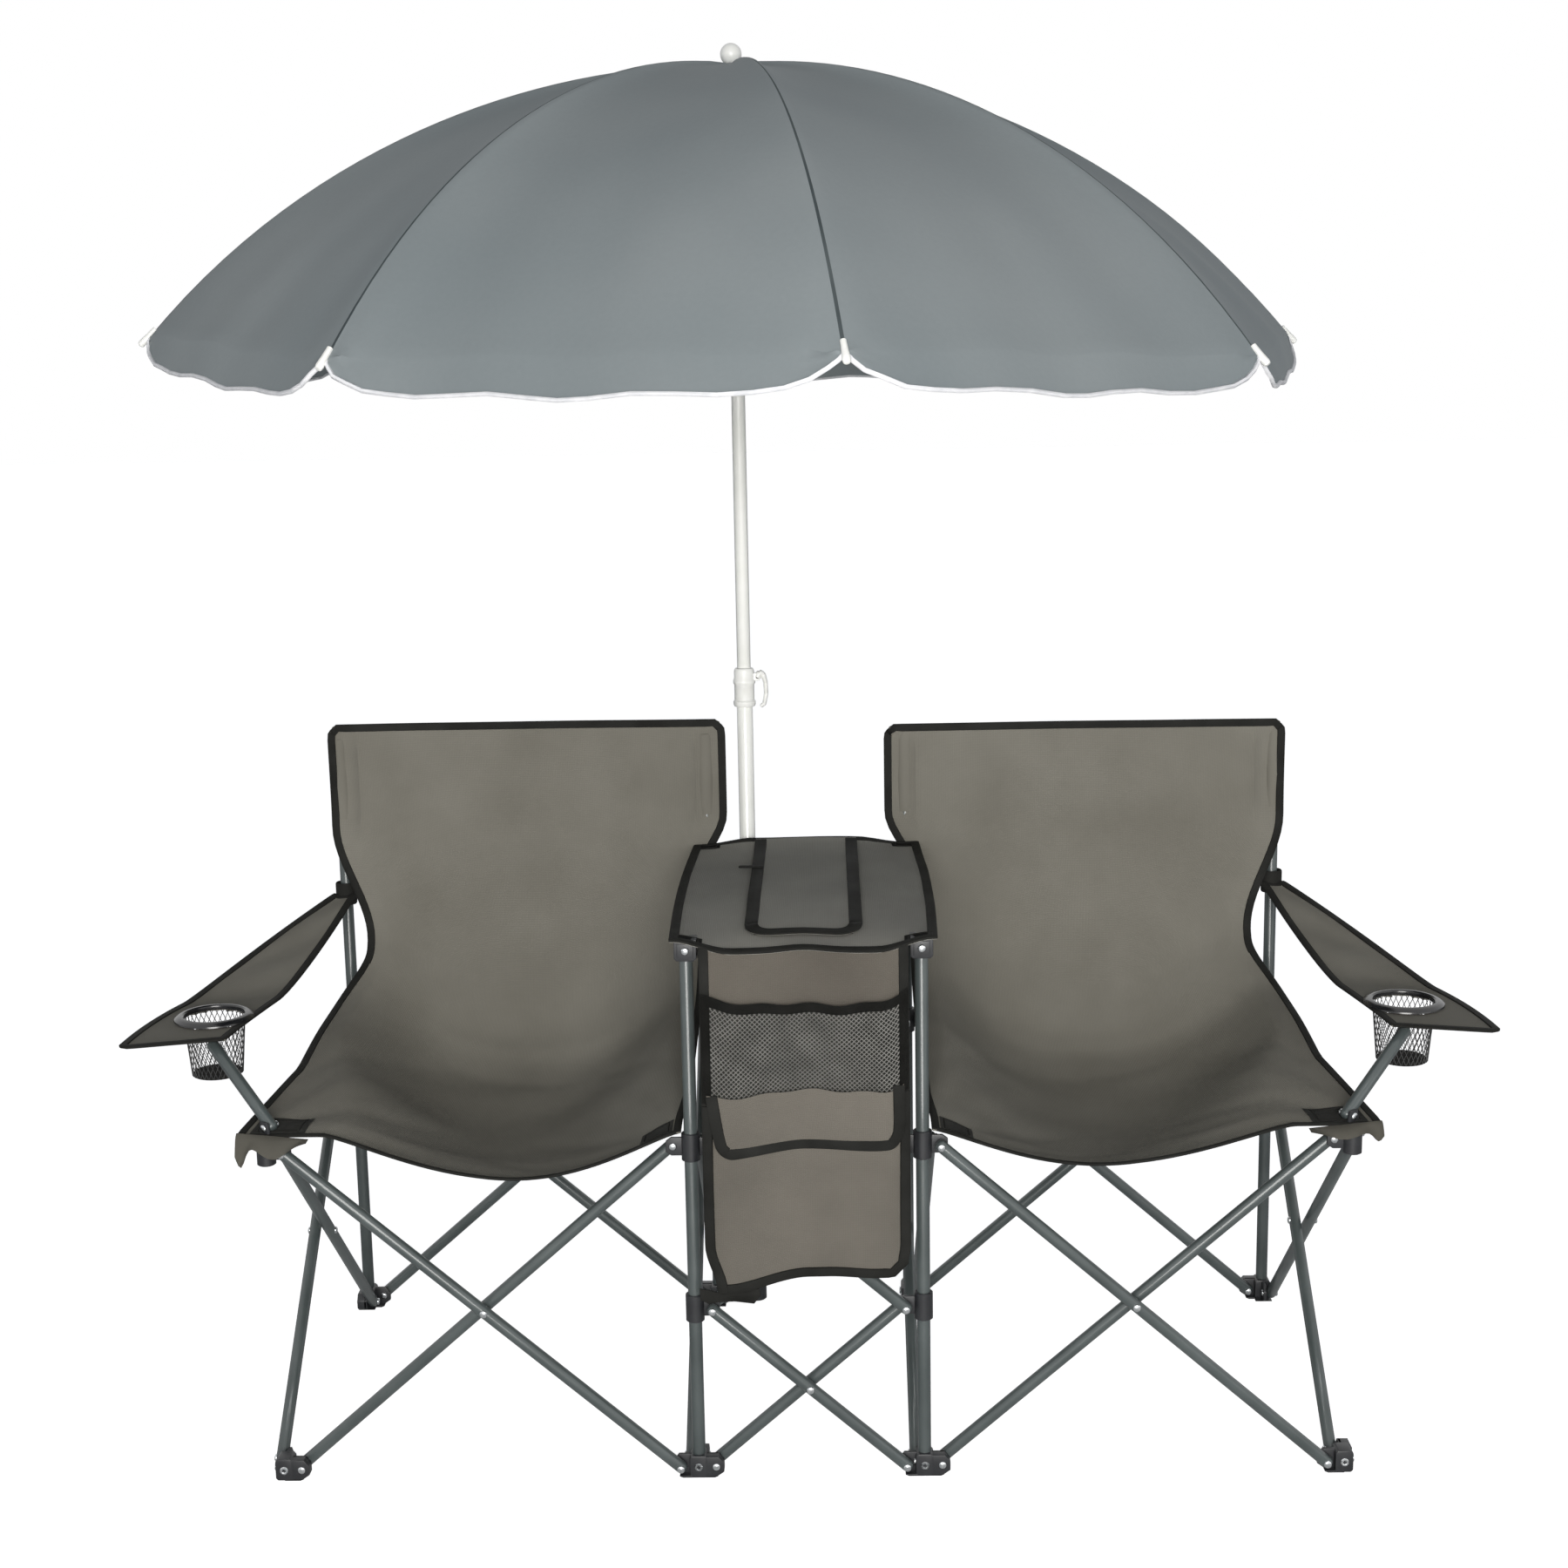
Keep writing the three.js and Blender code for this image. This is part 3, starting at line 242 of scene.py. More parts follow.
# %% The rivets' plating
zinc = mottled_finish(
    "zinc_plated_rivet", {"Metallic": 1.0, "Roughness": 0.24}, "#b9bdc0", "#e3e5e6", 3, grain=(2, 0.02, 2.0)
)

# %% [markdown]
# ## Woven polyester
#
# Seats, arms, table and organiser are 600-denier polyester, a plain weave with about two threads to a millimetre.
# At this distance single threads can't show, so the weave is drawn more than three times coarser, from two crossed
# waves along the cloth's own width and length, which the sheets carry as UV in metres. A slow drift of colour stands
# for the uneven dye and light handling marks, and a little sheen for the loose fibres.

# %% Cloths of plain weave


def plain_weave(name, low, high, roughness=0.82, thread_mm=1.8):
    sockets = {"Roughness": roughness, "IOR": 1.45, "Specular IOR Level": 0.12, "Sheen Weight": 0.04}
    material, tree, shader = new_finish(name, {**sockets, "Sheen Roughness": 0.6})
    scale = 2 * pi / (20 * thread_mm / 1000)  # a wave texture's bands repeat every 2 pi / (20 x scale)
    waves = {"Vector": add_node(tree, "UVMap").outputs[0], "Scale": scale, "Distortion": 0.6}
    warp, weft = (add_node(tree, "TexWave", waves, bands_direction=way).outputs["Fac"] for way in "XY")
    weave = add_node(tree, "Math", {0: warp, 1: weft}, operation="MULTIPLY").outputs[0]
    drift = mottle(tree, add_node(tree, "TexCoord").outputs["Object"], low, high, 140, 4.0)
    shade_by(tree, shader, drift, weave, 0.86, 1.06)
    raise_surface(tree, shader, weave, 0.25)
    return material


# %% [markdown]
# Each cloth of the object gets its own weave: warm grey for the seats and arms, a darker one for the organiser and
# its pockets, a nearly black one for the patches at the corners, and for the table the seats' fabric made duller
# and painted paler, a painted sheen for the light that the top catches at a grazing angle.

# %% The woven cloths
seat_cloth = plain_weave("woven_polyester_seat", "#78756c", "#86837a")
panel_cloth = plain_weave("woven_polyester_panel", "#5d5851", "#6b665e")
pocket_cloth = plain_weave("woven_polyester_pocket", "#65615a", "#757068")
# The table's cloth is the seats' fabric, painted paler: a painted sheen for the light its top catches at a grazing
# angle.
table_cloth_painted_sheen = plain_weave("woven_polyester_table_painted_sheen", "#8b8983", "#99978f", roughness=0.9)
patch_cloth = plain_weave("woven_polyester_patch", "#484845", "#595955", roughness=0.9)

# %% [markdown]
# ## Grosgrain binding
#
# Every raw edge is bound with a folded black grosgrain tape, which has fine ribs across its width. The ribs are
# about one millimetre apart. They stand here as a fine unevenness of two and a half, which still shows.

# %% The black tape
binding = mottled_finish(
    "grosgrain_binding", {"Roughness": 0.75, "Specular IOR Level": 0.12},
    "#1d1d1b", "#282826", 40, grain=(2.5, 0.2, 1.0),
)

# %% [markdown]
# ## Nets, canopy and the parasol's white parts
#
# The nets are knitted polyester, smooth and dark, and the darker sheet behind the organiser's net is painted shade,
# where the net and the pocket shade the panel. The canopy is a close pongee with a silver coating, much smoother
# than the seats, so it takes broad soft highlights and hardly shows a weave. The pole is steel under white enamel,
# and the finial, collar and lever are moulded ABS, with the slight depth of a glossy plastic.

# %% The other finishes
net_yarn = mottled_finish("knitted_net", {"Roughness": 0.6}, "#62615d", "#7c7b76", 30)
# A dark sheet behind the organiser's net: painted shade where the net and the pocket shade the panel.
net_painted_shade = mottled_finish(
    "painted_shade_behind_net", {"Roughness": 0.8, "Specular IOR Level": 0.1}, "#3a3a38", "#4c4c49", 60
)
dark_net = mottled_finish("knitted_net_black", {"Roughness": 0.55}, "#1d1d1e", "#3a3a3b", 20)

pongee, tree, shader = new_finish("coated_pongee", {"Roughness": 0.6, "IOR": 1.5, "Specular IOR Level": 0.06})
spot = add_node(tree, "TexCoord").outputs["Object"]
fine = add_node(tree, "TexNoise", {"Vector": spot, "Scale": 1000 / 6, "Detail": 2.0}).outputs["Fac"]
shade_by(tree, shader, mottle(tree, spot, "#80888b", "#92989a", 420), fine, 0.97, 1.03)
raise_surface(tree, shader, fine, 0.12)

seam_thread = mottled_finish(
    "lapped_pongee_seam", {"Roughness": 0.7, "Specular IOR Level": 0.06}, "#42494c", "#565d5f", 90
)
piping = mottled_finish("white_piping", {"Roughness": 0.55}, "#dcdde1", "#efeff2", 15)
enamel = mottled_finish(
    "white_enamel", {"Roughness": 0.28, "Coat Weight": 0.6, "Coat Roughness": 0.08},
    "#eeefe9", "#f6f6f2", 50, grain=(8, 0.02, 2.0),
)
white_abs = mottled_finish(
    "white_abs", {"Roughness": 0.32, "Specular IOR Level": 0.55, "IOR": 1.53}, "#eeeee9", "#f7f7f4", 12
)
black_abs = mottled_finish(
    "black_abs", {"Roughness": 0.22, "Specular IOR Level": 0.6, "IOR": 1.53}, "#101012", "#1a1a1c", 20
)
print("finishes:", len(bpy.data.materials))

# %% [markdown]
# ## Turned and moulded shapes
#
# Most of the frame is either round about an axis (tubes, posts, rivets, sleeves) or a flat moulding with softened
# edges (ears and soles). The first kind is spun from a short profile of pairs, how far along the axis and how wide.
# The second is drawn as an outline, thickened, and bevelled, because a real edge is never sharp and its thin
# highlight is what makes it look solid.

# %% Shapes for the hardware
TURN_SIDES = 28


def turn(work, origin, direction, profile, finish=0, sides=TURN_SIDES):
    direction = Vector(direction).normalized()
    across = direction.orthogonal().normalized()
    upward = direction.cross(across)
    rings = []
    for way, radius in profile:
        centre = Vector(origin) + direction * way
        angles = [2 * pi * i / sides for i in range(sides if radius else 1)]
        rings.append([work.verts.new(centre + (across * cos(a) + upward * sin(a)) * radius) for a in angles])
    for near, far in zip(rings, rings[1:]):
        for i in range(sides):
            j = (i + 1) % sides
            corners = near[i % len(near)], near[j % len(near)], far[j % len(far)], far[i % len(far)]
            work.faces.new(dict.fromkeys(corners)).material_index = finish


def rod(work, start, end, radius, finish, sides):
    turn(work, start, end - start, [(0, radius), ((end - start).length, radius)], finish, sides)


def turns(count):
    return [2 * pi * k / count for k in range(count)]


def skin(work, rings, finish, closed=False):
    """Faces from each ring of points to the next, and from the last to the first if it is closed."""
    for near, far in zip(rings, rings[1:] + rings[:1] if closed else rings[1:]):
        for k in range(len(near)):
            j = (k + 1) % len(near)
            work.faces.new((near[k], near[j], far[j], far[k])).material_index = finish


def absorb(work, part, finish=0):
    for face in part.faces:
        face.material_index = finish
    bmesh.ops.recalc_face_normals(part, faces=part.faces)
    carrier = bpy.data.meshes.new("carrier")
    part.to_mesh(carrier)
    part.free()
    work.from_mesh(carrier)
    bpy.data.meshes.remove(carrier)


def moulding(work, outline, thickness, where, finish=0, edge=0.9):
    """A plate drawn in X and Z, as thick along Y, and put in place by the matrix where."""
    part = bmesh.new()
    front, back = ([part.verts.new((x, y, z)) for x, z in outline] for y in (-thickness / 2, thickness / 2))
    part.faces.new(front)
    part.faces.new(back[::-1])
    for i in range(len(outline)):
        j = (i + 1) % len(outline)
        part.faces.new((front[i], back[i], back[j], front[j]))
    bmesh.ops.bevel(part, geom=part.edges, offset=edge, segments=2, profile=0.6, affect="EDGES")
    part.transform(where)
    absorb(work, part, finish)


RIVET = [(-1.0, 4.3), (0.3, 4.5), (1.1, 4.1), (1.7, 3.0), (2.0, 1.4), (2.05, 0)]
HOLLOW_RIVET = [(-1.0, 4.6), (0.8, 4.8), (1.6, 4.2), (1.7, 2.8), (1.2, 2.1), (-0.8, 1.9), (-0.8, 0)]


def rivet(work, spot, outward, finish=1):
    turn(work, spot, outward, RIVET, finish, 16)


# %% [markdown]
# A finished mesh goes into the model's frame and gets its finishes, the body that it rides on and the CAD nodes that
# it stands for. Faces that meet at a shallow angle are smoothed, and sharper edges stay sharp.

# %% Putting a piece in place


def settle(name, work, finishes, body, nodes=(), smooth=35):
    bmesh.ops.recalc_face_normals(work, faces=work.faces)
    work.transform(INTO_FRAME)
    mesh = bpy.data.meshes.new(name)
    work.to_mesh(mesh)
    work.free()
    for finish in finishes:
        mesh.materials.append(finish)
    mesh.shade_smooth()
    mesh.set_sharp_from_angle(angle=radians(smooth))
    piece = bpy.data.objects.new(name, mesh)
    bpy.context.scene.collection.objects.link(piece)
    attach(piece, body)
    if nodes:
        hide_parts(*nodes)
    print(name + ":", len(mesh.vertices), "points")
    return piece


# %% [markdown]
# ## The folding frame
#
# Each side of a chair is one scissor of two equal tubes, riveted where they cross. One tube runs in front of the
# moulded ears and the other behind them, so that both lie flat against the same ear and pass each other as the frame
# closes. The tube's ends are pressed to a dome. The crossing rivet is made with the outer tube.

# %% Scissor tubes
SPAN, RISE, EAR, RIVET_Z = 434.0, 380.0, 20.0, 13.0
TUBE_R, TUBE_OFF, OVERHANG = 7.0, 9.3, 6.0
RIVET_SEAT = TUBE_OFF + TUBE_R - 0.2


def tube_profile(length):
    dome = [(0, 0), (0.4, 3.2), (1.6, 5.4), (3.4, 6.6), (5.6, TUBE_R)]
    return [(w - OVERHANG, r) for w, r in dome] + [(length + OVERHANG - w, r) for w, r in dome[::-1]]


def side_view(x, y, yaw, z=0):
    """From a side's own view, X to the right as seen from outside, to the chairs' measures."""
    return Matrix.Translation((x, y, z)) @ Matrix.Rotation(radians(yaw), 4, "Z")


def scissor(name, x, y, yaw, span, rise, lift):
    view = side_view(x, y, yaw)
    outward = view.to_3x3() @ Vector((0, -1, 0))
    kinds = ("falling", -TUBE_OFF, EAR + span, EAR), ("rising", TUBE_OFF, EAR, EAR + span)
    for kind, off, foot_x, top_x in kinds:
        foot, top = view @ Vector((foot_x, off, lift)), view @ Vector((top_x, off, lift + rise))
        work = bmesh.new()
        turn(work, foot, top - foot, tube_profile((top - foot).length))
        if kind == "falling":
            middle = (foot + top) / 2
            rivet(work, middle + outward * (TUBE_R - 0.2), outward)
            rivet(work, middle - outward * (2 * TUBE_OFF + TUBE_R - 0.2), -outward)
        node = name + "_" + kind + "_tube"
        settle(node + "_steel", work, [powder_coat, zinc], body_with[node], [node])


CORNER_YAWS = (0, 90, 180, -90)
CHAIRS = {
    "left": [("outer_front", -OUTER_X, 0, "front"), ("inner_front", -INNER_X, 0, "inner_side"),
             ("inner_rear", -INNER_X, REAR_Y, "rear"), ("outer_rear", -OUTER_X, REAR_Y, "outer_side")],
    "right": [("inner_front", INNER_X, 0, "front"), ("outer_front", OUTER_X, 0, "outer_side"),
              ("outer_rear", OUTER_X, REAR_Y, "rear"), ("inner_rear", INNER_X, REAR_Y, "inner_side")],
}
for chair, corners in CHAIRS.items():
    for (corner, x, y, side), yaw in zip(corners, CORNER_YAWS):
        scissor(chair + "_" + side, x, y, yaw, SPAN, RISE, RIVET_Z)
for name, lift in (("centre_lower", RIVET_Z), ("centre_upper", RIVET_Z + RISE / 2)):
    scissor(name, -INNER_X, 0, 0, SPAN / 2, RISE / 2, lift)

# %% [markdown]
# ## Feet, hubs and sleeves
#
# Every corner has a moulded foot, which holds the post and the lower ends of the tubes, and a hub at seat height,
# which slides on the post. Both are a socket with a flat ear for each scissor that ends there. The ear's rivets
# carry the tubes, so they stand out as far as the tube does. The feet are drawn as one chunky block with cut
# corners and a sole, and the hubs as a shorter band round the post.

# %% Feet and hubs
FOOT_EAR = [(0, 0.6), (20, 0.6), (29, 7), (29, 17), (23, 25), (0, 25)]
HUB_EAR = [(0, -10.5), (22, -10.5), (28, -6), (28, 6), (22, 10.5), (0, 10.5)]
EAR_FACE, PLATED_FACE, HUB_Z = 1.9, 10.4, RIVET_Z + RISE
FOOT_BLOCK = [(-10.2, 3), (-7.5, 0.4), (7.5, 0.4), (10.2, 3), (10.2, 23), (7.5, 26.5), (-7.5, 26.5), (-10.2, 23)]


def mirrored(outline, way):
    return [(x * way, z) for x, z in outline][:: int(way)]


def ear(work, where, way, outside, inside, outline, rivet_z, face=EAR_FACE):
    """An ear with its rivets, which stand out as far as a tube on the sides that carry one."""
    moulding(work, mirrored(outline, way), 4.2, where)
    for side, tube_here in ((-1, outside), (1, inside)):
        reach = RIVET_SEAT if tube_here else face
        rivet(work, where @ Vector((way * EAR, side * reach, rivet_z)), where.to_3x3() @ Vector((0, side, 0)))
    if inside or outside:
        y_from, y_to = (-RIVET_SEAT if outside else 0), (RIVET_SEAT if inside else 0)
        middle = where @ Vector((way * EAR, (y_from + y_to) / 2, rivet_z))
        half = (y_to - y_from) / 2
        shank = [(-half, 0), (-half, 2.5), (half, 2.5), (half, 0)]
        turn(work, middle, where.to_3x3() @ Vector((0, 1, 0)), shank, 1, 12)


def sole(work, where, way):
    moulding(work, mirrored([(0, 0), (18, 0), (22, 1.6), (22, 2.4), (0, 2.4)], way), 21.4, where, edge=0.5)


def ears_at(chair, corner, index, hub):
    ears = [(CORNER_YAWS[index], 1, hub, not hub), (CORNER_YAWS[index - 1], -1, not hub, hub)]
    if corner == "inner_front":
        left = chair == "left"
        ears.append((0, 1 if left else -1, hub == left, hub != left))
    return ears


# %% One foot and one hub
SLEEVE = [(-15.8, 8.1), (-16, 9.2), (-15.2, 10.5), (15.2, 10.5), (16, 9.6), (16, 8.1)]
CAPPED_HUB = [(-16, 0), (-16, 9), (-15, 10.5), (15, 10.5), (16, 9), (16, 0)]
LUG, LUG_RIVET = [(-9.5, 13), (9.5, 13), (5.5, 33), (-5.5, 33)], 26
POLE = Vector((-76.5, 484.0, 0))
POLE_CUP = [(0.5, 0), (0.3, 12), (1.2, 13), (6, 12.9), (38, 12.7), (40, 12.2), (40, 10.9), (3, 10.9), (3, 0)]
CUP_BRIDGE = [(4, 1), (42, 1), (42, 10), (36, 23), (4, 24)]


def add_foot(work, chair, corner, index, x, y):
    for yaw, way, outside, inside in ears_at(chair, corner, index, False):
        where = side_view(x, y, yaw)
        plated = inside and not outside
        ear(work, where, way, outside, inside, FOOT_EAR, RIVET_Z, PLATED_FACE if plated else EAR_FACE)
        if plated:
            moulding(work, mirrored(FOOT_EAR, way), 12.6, where @ Matrix.Translation((0, -4.4, 0)))
        sole(work, where, way)
        front = where.to_3x3() @ Vector((0, -1, 0))
        turn(work, where @ Vector((0, -10.9, RIVET_Z)), front, HOLLOW_RIVET, 1, 16)
    moulding(work, FOOT_BLOCK, 21.8, side_view(x, y, 0), edge=1.6)
    if (chair, corner) == ("left", "inner_rear"):
        turn(work, POLE, (0, 0, 1), POLE_CUP)
        moulding(work, CUP_BRIDGE, 12, side_view(x, y + 4, 11), edge=1.5)


def add_hub(work, chair, corner, index, x, y):
    for yaw, way, outside, inside in ears_at(chair, corner, index, True):
        ear(work, side_view(x, y, yaw, HUB_Z), way, outside, inside, HUB_EAR, 0)
    turn(work, (x, y, HUB_Z), (0, 0, 1), CAPPED_HUB if corner == "outer_front" else SLEEVE)
    if corner == "outer_front":
        where = side_view(x, y, 38 if chair == "right" else -38, HUB_Z)
        moulding(work, LUG, 4, where)
        for side, reach in ((1, RIVET_SEAT), (-1, 1.8)):
            rivet(work, where @ Vector((0, side * reach, LUG_RIVET)), where.to_3x3() @ Vector((0, side, 0)))


# %% All feet, hubs and middle sleeves
for chair, corners in CHAIRS.items():
    for index, (corner, x, y, _) in enumerate(corners):
        for kind, add in (("foot", add_foot), ("hub", add_hub)):
            work, node = bmesh.new(), chair + "_" + corner + "_" + kind
            add(work, chair, corner, index, x, y)
            settle(node + "_moulding", work, [nylon, zinc], body_with[node], [node])

for node, x, way in (("left_mid_sleeve", -INNER_X, 1), ("right_mid_sleeve", INNER_X, -1)):
    work = bmesh.new()
    height = RIVET_Z + RISE / 2
    ear(work, side_view(x, 0, 0, height), way, True, True, HUB_EAR, 0)
    turn(work, (x, 0, height), (0, 0, 1), SLEEVE)
    settle(node + "_moulding", work, [nylon, zinc], body_with[node], [node])

# %% [markdown]
# ## Posts
#
# The posts are straight tube with a plastic plug in the top. The two at the front end under the table, each in a
# moulded corner bracket with a rivet in its face. The left rear one beside the table also carries a clip, which
# grips the parasol's pole.

# %% Posts, brackets and the pole's clip
TABLE_Z, POST_R, REAR_POST_TOP, FRONT_POST_TOP = 635.0, 7.5, 785.0, 612.0
POLE_RING = [(606, 10.9), (606, 12.2), (607, 13), (621, 13), (622, 12.2), (622, 10.9), (606, 10.9)]
POST_RING = [(606, 7.6), (606, 9.6), (607, 10.5), (621, 10.5), (622, 9.6), (622, 7.6)]
for chair, corners in CHAIRS.items():
    for corner, x, y, _ in corners:
        if corner == "outer_front":
            continue
        top = REAR_POST_TOP if y else FRONT_POST_TOP
        work = bmesh.new()
        tube = [(2.6, 0), (2.6, POST_R), (top - 3, POST_R), (top - 1, 6.5), (top, 4), (top, 0)]
        turn(work, (x, y, 0), (0, 0, 1), tube)
        if not y:
            half, low, high = 12.5, TABLE_Z - 27.3, TABLE_Z - 3.3
            block = [(-half, low + 3), (-half + 3, low), (half - 3, low), (half, low + 3), (half, high), (-half, high)]
            moulding(work, block, 2 * half, side_view(x, 0, 0), 1, edge=1.4)
            plate = [(-9, low + 4), (9, low + 4), (9, high - 4), (-9, high - 4)]
            moulding(work, plate, 2, side_view(x, -half - 0.6, 0), 1)
            turn(work, (x, -half - 1.4, (low + high) / 2), (0, -1, 0), RIVET, 2, 16)
        if (chair, corner) == ("left", "inner_rear"):
            turn(work, POLE, (0, 0, 1), POLE_RING, 1)
            turn(work, (x, y, 0), (0, 0, 1), POST_RING, 1)
            moulding(work, [(8, 607), (41, 607), (41, 621), (8, 621)], 6, side_view(x, y, 11), 1, edge=1.2)
        node = chair + "_" + corner + "_post"
        settle(node + "_steel", work, [powder_coat, nylon, zinc], body_with[node], [node])

# %% [markdown]
# The short arm posts hinge on the outer front hubs and run up and outwards under the arms.

# %% Arm posts
ARM_PIVOT_Z, ARM_POST, ARM_LIFT, ARM_YAW = HUB_Z + LUG_RIVET, 128.0, 38.0, 38.0


def arm_post_line(way):
    """The pivot and direction of the arm post of one chair."""
    turn_to = radians(ARM_YAW if way > 0 else 180 - ARM_YAW)
    pivot = Vector((way * (OUTER_X - sin(turn_to) * TUBE_OFF), way * cos(turn_to) * TUBE_OFF, ARM_PIVOT_Z))
    lift = radians(ARM_LIFT)
    return pivot, Vector((cos(turn_to) * cos(lift), sin(turn_to) * cos(lift), sin(lift)))


BOTH_SIDES = (("left", -1), ("right", 1))
ARM_TUBE = [(-6, 0), (-5.6, 3.2), (-4.4, 5.4), (-2.6, 6.6), (-0.4, 7)]
ARM_TUBE += [(ARM_POST - 3, 7), (ARM_POST - 0.8, 5.8), (ARM_POST, 3), (ARM_POST, 0)]
for chair, way in BOTH_SIDES:
    pivot, run = arm_post_line(way)
    work = bmesh.new()
    turn(work, pivot, run, ARM_TUBE)
    node = chair + "_arm_post"
    settle(node + "_steel", work, [powder_coat], body_with[node], [node])

# %% [markdown]
# ## Cloth
#
# A sewn panel could be modelled flat and draped by a simulation. Here the cloth is stretched between tubes and its
# shape in the photograph is settled, so each panel is drawn as a surface over its width and length, with the sag,
# the pull at its corners and the creases put into the surface itself. Its lines lie closer together at the edges,
# and its UV is its real width and length, which keeps the weave square.

# %% Cloth sheets


def steps(start, end, count):
    return [start + (end - start) * i / count for i in range(count + 1)]


def smooth(value, low, high):
    t = min(1, max(0, (value - low) / (high - low)))
    return t * t * (3 - 2 * t)


def mix(a, b, t):
    return a + (b - a) * t


def sheet_normal(surface, u, v, du=0.02, dv=0.01):
    across = surface(min(u + du, 1), v) - surface(max(u - du, 0), v)
    return across.cross(surface(u, min(v + dv, 1)) - surface(u, max(v - dv, 0))).normalized()


SEAM_REACH, SEAM_TURN = 0.0022, 0.7  # metres from the row, and the cosine of the turn from the face


def match_seam(piece, surface, v, us):
    """Two pieces that share a row get the sheet's own normal there, so that no line shows between them."""
    row = [(INTO_FRAME @ surface(u, v), sheet_normal(surface, u, v)) for u in us]
    mesh = piece.data
    near = {}
    for vertex in mesh.vertices:
        spot, normal = min(row, key=lambda entry: (entry[0] - vertex.co).length_squared)
        if (spot - vertex.co).length < SEAM_REACH:
            near[vertex.index] = normal
    normals = [(0, 0, 0)] * len(mesh.loops)
    for face in mesh.polygons:
        for loop in face.loop_indices:
            normal = near.get(mesh.loops[loop].vertex_index)
            if normal and abs(normal.dot(face.normal)) > SEAM_TURN:
                normals[loop] = normal if normal.dot(face.normal) > 0 else -normal
    mesh.normals_split_custom_set(normals)


def grid_faces(work, rows, left_out=None):
    """One face for each cell of a grid of points, kept by its column and row."""
    faces = {}
    for j in range(len(rows) - 1):
        for i in range(len(rows[j]) - 1):
            if not (left_out and left_out(i, j)):
                corners = rows[j][i], rows[j][i + 1], rows[j + 1][i + 1], rows[j + 1][i]
                faces[i, j] = work.faces.new(corners)
    return faces


def cell_corners(i, j):
    return (i, j), (i + 1, j), (i + 1, j + 1), (i, j + 1)


def cloth(name, surface, us, vs, size_mm, thickness, finishes, body, nodes, skip=None, extra=None, seams=()):
    work = bmesh.new()
    along = work.loops.layers.uv.new("UVMap")

    def left_out(i, j):
        return skip and skip((us[i] + us[i + 1]) / 2, (vs[j] + vs[j + 1]) / 2)

    faces = grid_faces(work, [[work.verts.new(surface(u, v)) for u in us] for v in vs], left_out)
    for (i, j), face in faces.items():
        for loop, (column, row) in zip(face.loops, cell_corners(i, j)):
            loop[along].uv = (us[column] * size_mm[0] / 1000, vs[row] * size_mm[1] / 1000)
    loose = [v for v in work.verts if not v.link_faces]
    bmesh.ops.delete(work, geom=loose, context="VERTS")
    bmesh.ops.recalc_face_normals(work, faces=work.faces)
    if sum(f.normal.z - f.normal.y for f in work.faces) < 0:
        bmesh.ops.reverse_faces(work, faces=work.faces)
    bmesh.ops.solidify(work, geom=work.faces[:], thickness=thickness)
    if extra:
        extra(work)
    piece = settle(name, work, finishes, body, nodes, smooth=50)
    for v in seams:
        match_seam(piece, surface, v, us)
    return piece


# %% [markdown]
# The black tape is folded over the raw edge and stitched through. It is a flattened tube that follows the edge, a
# millimetre proud on both faces, so that it catches light along its rim as real tape does. At each point it needs to
# know which way the cloth lies and which way is up, and both come from the surface.

# %% Binding tape


def tape_section(width):
    """How far in from the edge, and how far off the cloth by share of the thickness, for each corner of the tape."""
    upper = [(width, 0.25), (width - 0.6, 1), (width * 0.5, 1.05), (0.2, 1), (-0.9, 0.5)]
    return upper + [(a, -b) for a, b in upper[::-1]]


def bind(work, surface, path, width, finish=1, thick=1.7, closed=False):
    spots = [surface(u, v) for u, v in path]
    count = len(path)
    rings = []
    for i, (u, v) in enumerate(path):
        before, after = max(i - 1, 0), min(i + 1, count - 1)
        if closed:
            before, after = (i - 1) % count, (i + 1) % count
        tangent = (spots[after] - spots[before]).normalized()
        normal = sheet_normal(surface, u, v)
        inward = normal.cross(tangent).normalized()
        probe = surface(u + (0.5 - u) * 0.08, v + (0.5 - v) * 0.04) - spots[i]
        if probe.dot(inward) < 0:
            inward = -inward
        section = tape_section(width)
        rings.append([work.verts.new(spots[i] + inward * a + normal * (b * thick)) for a, b in section])
    skin(work, rings, finish, closed)
    if not closed:
        for end in (rings[0], rings[-1][::-1]):
            work.faces.new(end).material_index = finish


def bind_sides(work, surface, vs, width):
    for u in (0, 1):
        bind(work, surface, [(u, v) for v in vs], width)


def bind_across(work, surface, v, us, width):
    bind(work, surface, [(u, v) for u in us], width)


# %% [markdown]
# ## Seats and backs
#
# One sling makes the seat and the back of a chair. It hangs from the four hubs and from the rear posts, where it ends
# in two sleeves. Its side edges and its middle each follow a curve through a few measured points, and every other
# point lies between the two, so the cloth dips where a sitter goes and stays straight along its edges. The seat is
# made in two pieces and the back is a third, because they ride on different corners when the frame folds.

# %% The sling's surface
HALF_CHAIR = 237.0
SLING_EDGE = [(-7, 19), (118.5, 35.8), (260.7, 53.7), (388.7, 75), (440.8, 125.4), (463.5, 279), (463.5, 395)]
SLING_MIDDLE = [(-10.5, -33), (125, -50), (275, -47), (383, -22), (443, 58), (472, 235), (467, 395)]


